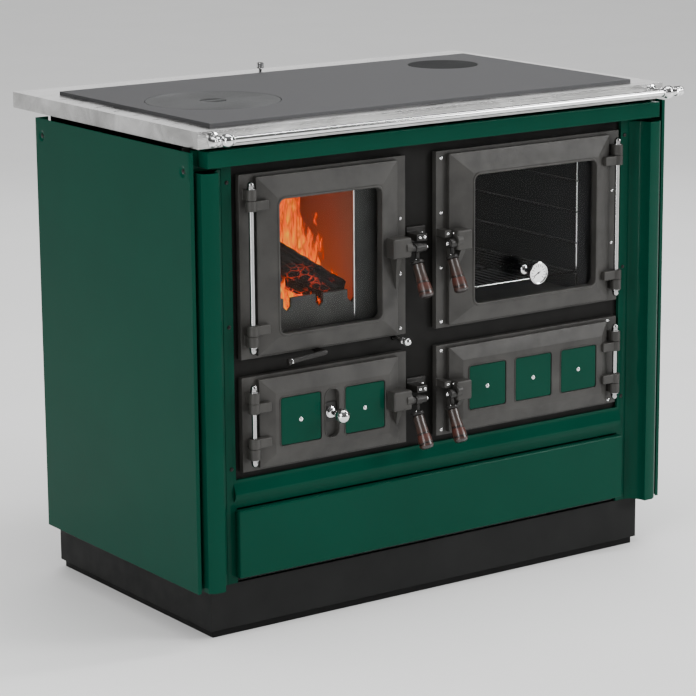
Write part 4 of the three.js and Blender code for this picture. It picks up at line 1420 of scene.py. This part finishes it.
def loop_tube(form: Form, path: Sequence[Vector], radius: float, sides: int) -> None:
    """Adds a closed tube along a flat closed path.

    Args:
        form: where it goes.
        path: its points in order, in a plane of constant Y.
        radius: of the tube.
        sides: round the tube.
    """
    rings = []
    for i, at in enumerate(path):
        way = (path[(i + 1) % len(path)] - path[i - 1]).normalized()
        made = bmesh.ops.create_circle(form.bm, cap_ends=False, segments=sides, radius=radius,
                                       matrix=Matrix.Translation(at) @ facing(way))["verts"]
        rings.append(list({e for v in made for e in v.link_edges}))
    for a, b in zip(rings, rings[1:] + rings[:1]):
        bmesh.ops.bridge_loops(form.bm, edges=a + b)
    bmesh.ops.recalc_face_normals(form.bm, faces=form.bm.faces)


# ------------------------------------------------------------------------------------------- firebox
@dataclass
class Firebox:
    """The fire: brick lining, grate, retainer, burning logs and flames, with the ash box below."""

    body: str = "cabinet"
    seed: int = 11
    facing: float = -35.0

    def build(self) -> None:
        """Builds the inside of the left column."""
        softened("firebox_casing", self.body, "black_plate", FRONT_BLACK, 0.5)
        softened("ash_chamber", self.body, "black_plate", FRONT_BLACK, 0.5)
        softened("ash_pan", "ash_pan", "grey_sheet", SHEET_GREY, 0.6)
        softened("firebrick_lining", self.body, "firebrick", BRICK, 2.0)
        softened("grate", self.body, "black_iron", SOOT_IRON, 1.0)
        softened("log_retainer", self.body, "black_iron", RETAINER_IRON, 1.0)
        self.throat()
        self.trim()
        self.logs()
        self.flames()

    def throat(self) -> None:
        """The skirt that carries the firebox up to the underside of the hob."""
        box, hob = limits("firebox_casing"), limits("hob_plate")
        form = Form()
        form.slab(Limits(box.x0, box.x1, box.y0, box.y1, box.z1 + 0.1, hob.z0 - 0.3))
        ends = [f for f in form.bm.faces if abs(f.normal.z) > 0.9]
        bmesh.ops.delete(form.bm, geom=ends, context="FACES_ONLY")
        bmesh.ops.solidify(form.bm, geom=form.bm.faces[:], thickness=1.5)
        bmesh.ops.recalc_face_normals(form.bm, faces=form.bm.faces)
        form.piece("firebox_throat", self.body, "black_plate", FRONT_BLACK)

    def trim(self) -> None:
        """The bright edge of the air guide inside the firebox mouth."""
        retainer = limits("log_retainer")
        form = Form()
        x = retainer.x1 - 63
        form.slab(Limits(x, x + 2.2, retainer.y0 - 2.6, retainer.y0 - 0.8, 505, 735), 0.5, 2)
        form.piece("air_guide_edge", self.body, "chrome", CHROME)
        side = Form()
        side.slab(Limits(x + 2.4, x + 58, retainer.y0 - 1.6, retainer.y0 - 0.8, 480, 760), 0.3, 1)
        side.piece("air_guide", self.body, "black_iron", GUIDE_IRON)

    def log(self, name: str, start: Point, end: Point, radius: float, finish: Finish, sides: int,
            seed: int) -> None:
        """One burnt split log, rough all over.

        Args:
            name: the piece's name.
            start: centre of one end.
            end: centre of the other end.
            radius: of the wood.
            finish: how burnt it is.
            sides: of its rough section; three or four make a split log.
            seed: of its roughness.
        """
        form = Form()
        bm = form.bm
        start, end = Vector(start), Vector(end)
        bmesh.ops.create_cone(bm, cap_ends=True, segments=sides, radius1=radius, radius2=radius * 0.93,
                              depth=(end - start).length)
        form.bevel(bm.edges[:], radius * 0.22, 2)
        bmesh.ops.subdivide_edges(bm, edges=[e for e in bm.edges if e.calc_length() > 12], cuts=12,
                                  use_grid_fill=True)
        bmesh.ops.triangulate(bm, faces=bm.faces)
        bmesh.ops.subdivide_edges(bm, edges=[e for e in bm.edges if e.calc_length() > 7], cuts=1)
        bm.normal_update()
        for v in bm.verts:
            at = Vector((v.co.x * 0.11, v.co.y * 0.11, v.co.z * 0.03)) + Vector((seed, 0, 0))
            rough = noise.fractal(at, 0.8, 2.1, 4) * 3.4 + noise.noise(at * 0.25) * 4.0
            v.co += v.normal * max(-5.0, min(4.0, rough))
        bmesh.ops.transform(bm, matrix=Matrix.Translation((start + end) / 2) @ facing(end - start),
                            verts=bm.verts)
        form.piece(name, self.body, "black_iron", finish, smooth=50)

    def logs(self) -> None:
        """The burning stack on the grate."""
        char = Char("charred_wood")
        glowing = Char("glowing_wood", 2.4, 0.50, 0.62)
        self.log("log_top", (-292, -140, 618), (-168, -202, 532), 36, char, 4, 3)
        self.log("log_left", (-330, -195, 530), (-250, -120, 585), 27, glowing, 7, 17)
        self.log("log_low", (-322, -120, 500), (-140, -150, 503), 26, glowing, 8, 29)
        self.log("log_back", (-325, -30, 505), (-150, 40, 512), 27, glowing, 6, 41)
        rng = random.Random(self.seed)
        embers = Form()
        for _ in range(46):
            centre = Vector((rng.uniform(-322, -135), rng.uniform(-200, 60), 474 + rng.uniform(0, 5)))
            made = bmesh.ops.create_icosphere(embers.bm, subdivisions=2, radius=rng.uniform(6, 12),
                                              matrix=Matrix.Translation(centre))["verts"]
            for v in made:
                v.co += (v.co - centre).normalized() * noise.noise(v.co * 0.25) * 4
        embers.piece("embers", self.body, "black_iron", Char("ember_bed", 4.5, 0.52, 0.64), smooth=60)

    def sheet(self, name: str, middle: Point, size: tuple[float, float], finish: Finish,
              phase: float) -> None:
        """One standing sheet of fire, waved in depth and turned to face out through the window.

        Args:
            name: the piece's name.
            middle: centre of its foot.
            size: its width and height.
            finish: the fire.
            phase: shifts the waves.
        """
        form = Form()
        bmesh.ops.create_grid(form.bm, x_segments=20, y_segments=24, size=1, calc_uvs=False)
        uv = form.bm.loops.layers.uv.new("sheet")
        for f in form.bm.faces:
            for loop in f.loops:
                loop[uv].uv = ((loop.vert.co.x + 1) / 2, (loop.vert.co.y + 1) / 2)
        turn = math.radians(self.facing)
        for v in form.bm.verts:
            s, t = (v.co.x + 1) / 2, (v.co.y + 1) / 2
            across = (s - 0.5) * size[0] * (1 - 0.3 * t) + 5 * math.sin(3 * t + phase)
            deep = 4 * math.sin(5 * s + phase) + 3 * math.sin(4 * t + 2 * phase)
            x = middle[0] + across * math.cos(turn) - deep * math.sin(turn)
            y = middle[1] + across * math.sin(turn) + deep * math.cos(turn)
            v.co = Vector((x, y, middle[2] + t * size[1]))
        form.piece(name, self.body, "black_iron", finish, smooth=180)

    def flames(self) -> None:
        """Sheets of fire behind, over and before the logs."""
        plan = (  # middle of the foot, width and height, seed, reach
            ((-208, -118, 520), (104, 232), 0.4, 1.5),
            ((-225, -135, 530), (104, 215), 2.7, 1.35),
            ((-250, -160, 535), (90, 205), 4.1, 1.3),
            ((-190, -140, 520), (96, 150), 5.3, 1.1),
            ((-278, -197, 490), (56, 120), 7.9, 1.0),
            ((-212, -204, 480), (60, 84), 9.2, 0.9),
            ((-158, -172, 485), (52, 96), 12.4, 1.0),
        )
        for i, (middle, size, seed, reach) in enumerate(plan):
            self.sheet(f"flame_{i}", middle, size, Flame(f"flame_{i}", seed, reach), seed)
        lamp = bpy.data.lights.new("fire_glow", "AREA")
        lamp.energy, lamp.color, lamp.size = 0.04, (1.0, 0.36, 0.10), 0.14
        glow = bpy.data.objects.new("fire_glow", lamp)
        glow.location = (-0.25, -0.02, 0.745)
        bpy.context.scene.collection.objects.link(glow)


# ---------------------------------------------------------------------------------------------- oven
@dataclass
class Oven:
    """The black oven with its wire runners, shelf and door thermometer."""

    body: str = "cabinet"
    wires: int = 21
    case: Profile = ((0, 0), (14, 0), (18.4, 1.2), (19.6, 3), (19.8, 6.6), (19.2, 7.7), (18.2, 8),
                     (17.4, 7.6), (17.2, 6.2), (0, 6.2))
    stalk: Profile = ((0, 0), (8.5, 0), (8.8, 1.2), (7.6, 3), (4.4, 4.4), (4.0, 14), (4.0, 22), (6.8, 25),
                      (8.2, 30), (0, 31))
    marks: int = 13
    sweep: float = 260.0
    pointer: float = -118.0

    def build(self) -> None:
        """Builds the inside of the right column."""
        softened("oven_box", self.body, "oven_enamel", OVEN_BLACK, 0.8)
        softened("lower_compartment", self.body, "black_plate", FRONT_BLACK, 0.5)
        softened("oven_runners", self.body, "chrome", CHROME, 0.2, 1)
        self.shelf()
        self.thermometer()

    def shelf(self) -> None:
        """The wire shelf: a heavy rim, close thin wires, and two bars under them."""
        box = limits("oven_rack")
        form = Form()
        z = box.z0 + 2.2
        inset = 2.0
        a, b = box.x0 + inset, box.x1 - inset
        f, r = box.y0 + inset, box.y1 - inset
        for y in (f, r):
            form.rod((a, y, z), (b, y, z), 2.0, sides=12)
        for x in (a, b):
            form.rod((x, f, z), (x, r, z), 2.0, sides=12)
        for i in range(1, self.wires):
            x = a + (b - a) * i / self.wires
            form.rod((x, f, z + 0.9), (x, r, z + 0.9), 1.25, sides=8)
        for t in (0.33, 0.67):
            y = f + (r - f) * t
            form.rod((a, y, z - 0.1), (b, y, z - 0.1), 1.6, sides=10)
        form.piece("oven_shelf_wires", "oven_rack", "chrome", CHROME, "oven_rack")

    def thermometer(self) -> None:
        """The round dial on its stalk through the glass."""
        box = limits("oven_thermometer")
        x, z = box.middle.x, box.middle.z
        face = box.y0
        case = Form()
        case.turned((x, face + 8, z), Way.FRONT.value, self.case, 48)
        case.turned((x, box.y1, z), Way.FRONT.value, self.stalk, 32)
        case.piece("thermometer_case", "oven_door", "chrome", CHROME, "oven_thermometer")
        dial = Form()
        dial.turned((x, face + 2.4, z), Way.FRONT.value, [(0, 0), (17.1, 0), (17.1, 0.5), (0, 0.5)], 48)
        dial.piece("thermometer_dial", "oven_door", "chrome", DIAL)
        marks = Form()
        plane = face + 1.8
        strokes = []
        for i in range(self.marks):
            foot = 11.6 if i % 3 else 10.0
            angle = self.sweep * (i / (self.marks - 1) - 0.5)
            strokes.append((angle, Limits(-0.45, 0.45, plane - 0.15, plane + 0.15, foot, 15.0)))
        strokes.append((self.pointer, Limits(-0.7, 0.7, plane - 0.35, plane - 0.05, -4.5, 11.5)))
        for angle, stroke in strokes:
            verts = marks.slab(stroke)
            turn = Matrix.Rotation(math.radians(angle), 3, "Y")
            bmesh.ops.rotate(marks.bm, cent=(0, 0, 0), matrix=turn, verts=verts)
            bmesh.ops.translate(marks.bm, vec=(x, 0, z), verts=verts)
        marks.turned((x, plane, z), Way.FRONT.value, [(0, 0), (1.9, 0), (1.9, 0.7), (0, 0.9)], 16)
        marks.piece("thermometer_marks", "oven_door", "black_plate", INK)


# ---------------------------------------------------------------------------------------- small parts
@dataclass
class Controls:
    """The air knobs, the grate lever, and the flue with its damper rod."""

    body: str = "cabinet"
    small_knob: Profile = ((0, 0), (3.4, 0.6), (6.2, 2.6), (7.7, 5.6), (7.9, 8.4), (7.0, 11.4), (5.2, 13.4),
                           (4.2, 14.6), (4.6, 16.4), (5.6, 17.2), (5.6, 18.8), (3.6, 19.4), (0, 19.4))
    rosette: Profile = ((0, 0), (9.6, 0), (9.9, 1.0), (9.4, 2.2), (7.6, 3.0), (7.2, 4.2), (8.4, 5.2),
                        (8.6, 6.6), (7.4, 7.8), (4.6, 8.8), (4.2, 12), (4.2, 20), (5.4, 23))
    round_knob: Profile = ((0, 0), (5.2, 0.9), (9.6, 4.0), (12.2, 8.2), (12.9, 12.6), (12.4, 16.6),
                           (10.6, 20.4), (7.6, 23.6), (5.6, 25.2), (5.2, 27))
    slide_half: tuple[float, float] = (12.5, 17.0)
    pivot: Point = (-242.0, -271.5, 461.0)
    lever_tilt: float = 5.0
    lever_bar: Profile = ((0, -4.4), (3.2, -3.2), (4.4, 0), (4.5, 3), (4.5, 69), (5.4, 69.8), (5.9, 71.2),
                          (5.6, 73.4), (4.2, 74.6), (0, 74.9))
    damper_knob: Profile = ((0, 0), (4.6, 0.3), (6.6, 1.6), (6.9, 4), (6.3, 6), (6.9, 8), (6.6, 10.6),
                            (4.6, 12), (0, 12.2))

    def build(self) -> None:
        """Builds the small working parts."""
        self.air_knob()
        self.air_slider()
        self.lever()
        self.flue()

    def air_knob(self) -> None:
        """The small bright knob between the doors."""
        box = limits("secondary_air_knob")
        x, z = box.middle.x, box.middle.z
        form = Form()
        form.rod((x, box.y1, z), (x, box.y0 + 12, z), 3.6, sides=20)
        form.turned((x, box.y0, z), Way.Y.value, self.small_knob, 32)
        form.piece("air_knob_turned", "secondary_air_control", "chrome", CHROME, "secondary_air_knob")

    def air_slider(self) -> None:
        """The slide in the ash door: a plate, a rosette and a round knob."""
        box = limits("primary_air_slider")
        x, z = box.middle.x, box.middle.z
        wide, tall = self.slide_half
        plate = Form()
        plate.slab(Limits(x - wide, x + wide, box.y1 - 2.6, box.y1, z - tall, z + tall), 0.6, 2)
        plate.piece("air_slide_plate", "primary_air_control", "black_iron", DARK_IRON)
        knob = Form()
        knob.turned((x, box.y1 - 2.4, z), Way.FRONT.value, self.rosette, 36)
        knob.turned((x, box.y0, z), Way.Y.value, self.round_knob, 36)
        knob.piece("air_slide_knob", "primary_air_control", "chrome", CHROME, "primary_air_slider")

    def lever(self) -> None:
        """The round grate lever with its bright end ring."""
        box = limits("grate_lever")
        form = Form()
        pivot, tilt = Vector(self.pivot), math.radians(self.lever_tilt)
        way = Vector((-math.cos(tilt), 0, -math.sin(tilt)))
        form.turned(pivot, way, self.lever_bar, 28)
        form.rod(pivot, (pivot.x, box.y1, pivot.z), 4.3, sides=24)
        form.piece("grate_lever_bar", "grate_lever", "dark_steel", DARK_IRON, "grate_lever")
        ring = Form()
        tip = pivot + way * 66
        ring.tube(tip, tip + way * 2.4, 5.1, 4.4, 0.5, 28)
        ring.piece("grate_lever_ring", "grate_lever", "chrome", CHROME)

    def flue(self) -> None:
        """The rear flue collar and the damper rod through the surround."""
        softened("flue_collar", self.body, "black_iron", SOOT_IRON, 0.8)
        rod = limits("damper_rod")
        x, y = rod.middle.x, rod.middle.y
        form = Form()
        form.rod((x, y, rod.z0 + 120), (x, y, rod.z1 - 10), 2.8, sides=20)
        form.turned((x, y, rod.z1), Way.DOWN.value, self.damper_knob, 28)
        form.slab(Limits(x - 45, x + 45, y - 1, y + 1, rod.z0, rod.z0 + 128), 0.5, 2)
        form.piece("damper_rod_turned", "flue_damper", "chrome", CHROME, "damper_rod")


# --------------------------------------------------------------------------------------------- studio
@dataclass
class Studio:
    """The camera, the pale floor and the soft lights."""

    eye: Point = (-2.7582, -3.9339, 1.4907)
    azimuth: float = -34.977
    elevation: float = 12.961
    roll: float = -0.442
    lens: float = 142.81
    mirrored: Profile = ((0.0, 0.05), (0.9, 0.22))

    def build(self) -> None:
        """Sets up everything that isn't the range."""
        self.camera()
        self.floor()
        self.world()
        self.lights()

    def camera(self) -> None:
        """One long lens, level with the top of a standing eye."""
        az, el, roll = (math.radians(v) for v in (self.azimuth, self.elevation, self.roll))
        ahead = Vector((-math.sin(az) * math.cos(el), math.cos(az) * math.cos(el), -math.sin(el)))
        right = Vector((math.cos(az), math.sin(az), 0))
        up = right.cross(ahead)
        tilt = Matrix.Rotation(-roll, 3, ahead)
        right, up = tilt @ right, tilt @ up
        data = bpy.data.cameras.new("camera")
        data.lens, data.sensor_width = self.lens, 36
        data.clip_start, data.clip_end = 0.05, 60
        camera = bpy.data.objects.new("camera", data)
        turn = Matrix((right, up, -ahead)).transposed().to_4x4()
        camera.matrix_world = Matrix.Translation(Vector(self.eye)) @ turn
        bpy.context.scene.collection.objects.link(camera)
        bpy.context.scene.camera = camera

    def floor(self) -> None:
        """A wide pale floor."""
        form = Form()
        bmesh.ops.create_circle(form.bm, cap_ends=True, segments=96, radius=30)
        mesh = bpy.data.meshes.new("floor")
        form.bm.to_mesh(mesh)
        form.bm.free()
        board = Board("pale_floor")
        board.colour(board.ramp(board.noise(3, 3), [(0.3, (0.86, 0.86, 0.855)), (0.7, (0.88, 0.88, 0.875))]))
        board.set(Roughness=0.65)
        mesh.materials.append(board.material)
        floor = bpy.data.objects.new("floor", mesh)
        bpy.context.scene.collection.objects.link(floor)

    def world(self) -> None:
        """A pale room that the camera sees as white and bright surfaces mirror as a dim one."""
        world = bpy.data.worlds.new("room")
        bpy.context.scene.world = world
        world.use_nodes = True
        tree = world.node_tree
        room = tree.nodes["Background"]
        room.inputs["Color"].default_value = (1.0, 1.0, 1.0, 1)
        room.inputs["Strength"].default_value = 0.9
        white = tree.nodes.new("ShaderNodeBackground")
        white.inputs["Strength"].default_value = 2.6
        dim = tree.nodes.new("ShaderNodeBackground")
        dim.inputs["Strength"].default_value = 1.0
        ray = tree.nodes.new("ShaderNodeLightPath")
        place = tree.nodes.new("ShaderNodeTexCoord")
        axes = tree.nodes.new("ShaderNodeSeparateXYZ")
        fade = tree.nodes.new("ShaderNodeValToRGB")
        for element, (at, grey) in zip(fade.color_ramp.elements, self.mirrored):
            element.position, element.color = at, (grey, grey, grey, 1)
        tree.links.new(place.outputs["Generated"], axes.inputs[0])
        tree.links.new(axes.outputs["Z"], fade.inputs[0])
        tree.links.new(fade.outputs[0], dim.inputs["Color"])
        seen, shiny = (tree.nodes.new("ShaderNodeMixShader") for _ in range(2))
        tree.links.new(ray.outputs["Is Glossy Ray"], shiny.inputs[0])
        tree.links.new(room.outputs[0], shiny.inputs[1])
        tree.links.new(dim.outputs[0], shiny.inputs[2])
        tree.links.new(ray.outputs["Is Camera Ray"], seen.inputs[0])
        tree.links.new(shiny.outputs[0], seen.inputs[1])
        tree.links.new(white.outputs[0], seen.inputs[2])
        tree.links.new(seen.outputs[0], tree.nodes["World Output"].inputs[0])

    def lights(self) -> None:
        """Soft boxes from the left, the right, above and behind, and two narrow strips for the edges."""
        plan = (  # name, place, aim, width and height, watts
            ("left_box", (-4.2, -2.2, 2.6), (0, 0, 0.5), (2.2, 2.2), 62),
            ("right_box", (3.6, -3.4, 2.4), (0, 0, 0.5), (1.6, 1.6), 150),
            ("top_box", (0.2, -0.2, 4.2), (0, 0, 0.8), (2.6, 2.6), 80),
            ("back_box", (2.3, 3.3, 1.7), (0, 0, 0.85), (2.6, 1.2), 16),
            ("edge_strip", (-1.75, -1.1, 0.95), (0, 0, 0.95), (0.10, 1.8), 9),
            ("rim_strip", (2.4, -0.8, 3.8), (0, 0, 0.8), (0.25, 3.0), 55),
        )
        for name, at, aim, size, power in plan:
            data = bpy.data.lights.new(name, "AREA")
            data.shape, data.size, data.size_y, data.energy = "RECTANGLE", *size, power
            lamp = bpy.data.objects.new(name, data)
            lamp.matrix_world = Matrix.Translation(Vector(at)) @ facing(Vector(aim) - Vector(at), "-Z")
            lamp.visible_camera = False
            bpy.context.scene.collection.objects.link(lamp)


def cast_doors() -> list[CastDoor]:
    """Gives the four doors their places.

    Returns:
        The doors, firebox first, by column.
    """
    return [
        CastDoor("firebox", Side.LEFT, Row.UPPER, (-329.0, -126.0, 503.0, 726.0),
                 frame_screws=((-77, 665), (-77, 571), (-77, 477))),
        CastDoor("ash", Side.LEFT, Row.LOWER, (-336.0, -116.0, 308.0, 400.0),
                 ((-334.0, -248.0), (-205.0, -118.0)), (312.0, 399.0), ((-244.5, -212.5),)),
        CastDoor("oven", Side.RIGHT, Row.UPPER, (69.0, 337.0, 503.0, 726.0),
                 frame_screws=((9, 759), (9, 665), (9, 571), (9, 477), (386, 665), (386, 571))),
        CastDoor("lower", Side.RIGHT, Row.LOWER, (50.0, 350.0, 308.0, 402.0),
                 ((55.5, 141.0), (157.0, 242.5), (259.0, 344.5)),
                 frame_screws=((9, 426), (9, 287), (380, 430), (384, 284))),
    ]


def main() -> None:
    """Builds the range round its frame, then the studio."""
    logging.basicConfig(level=logging.INFO, format="%(name)s: %(message)s")
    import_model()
    for part in (Studio(), Cabinet(), WoodDrawer(), Worktop(), *cast_doors(), Firebox(), Oven(), Controls()):
        part.build()
    bpy.context.view_layer.update()


if __name__ == "__main__":
    main()
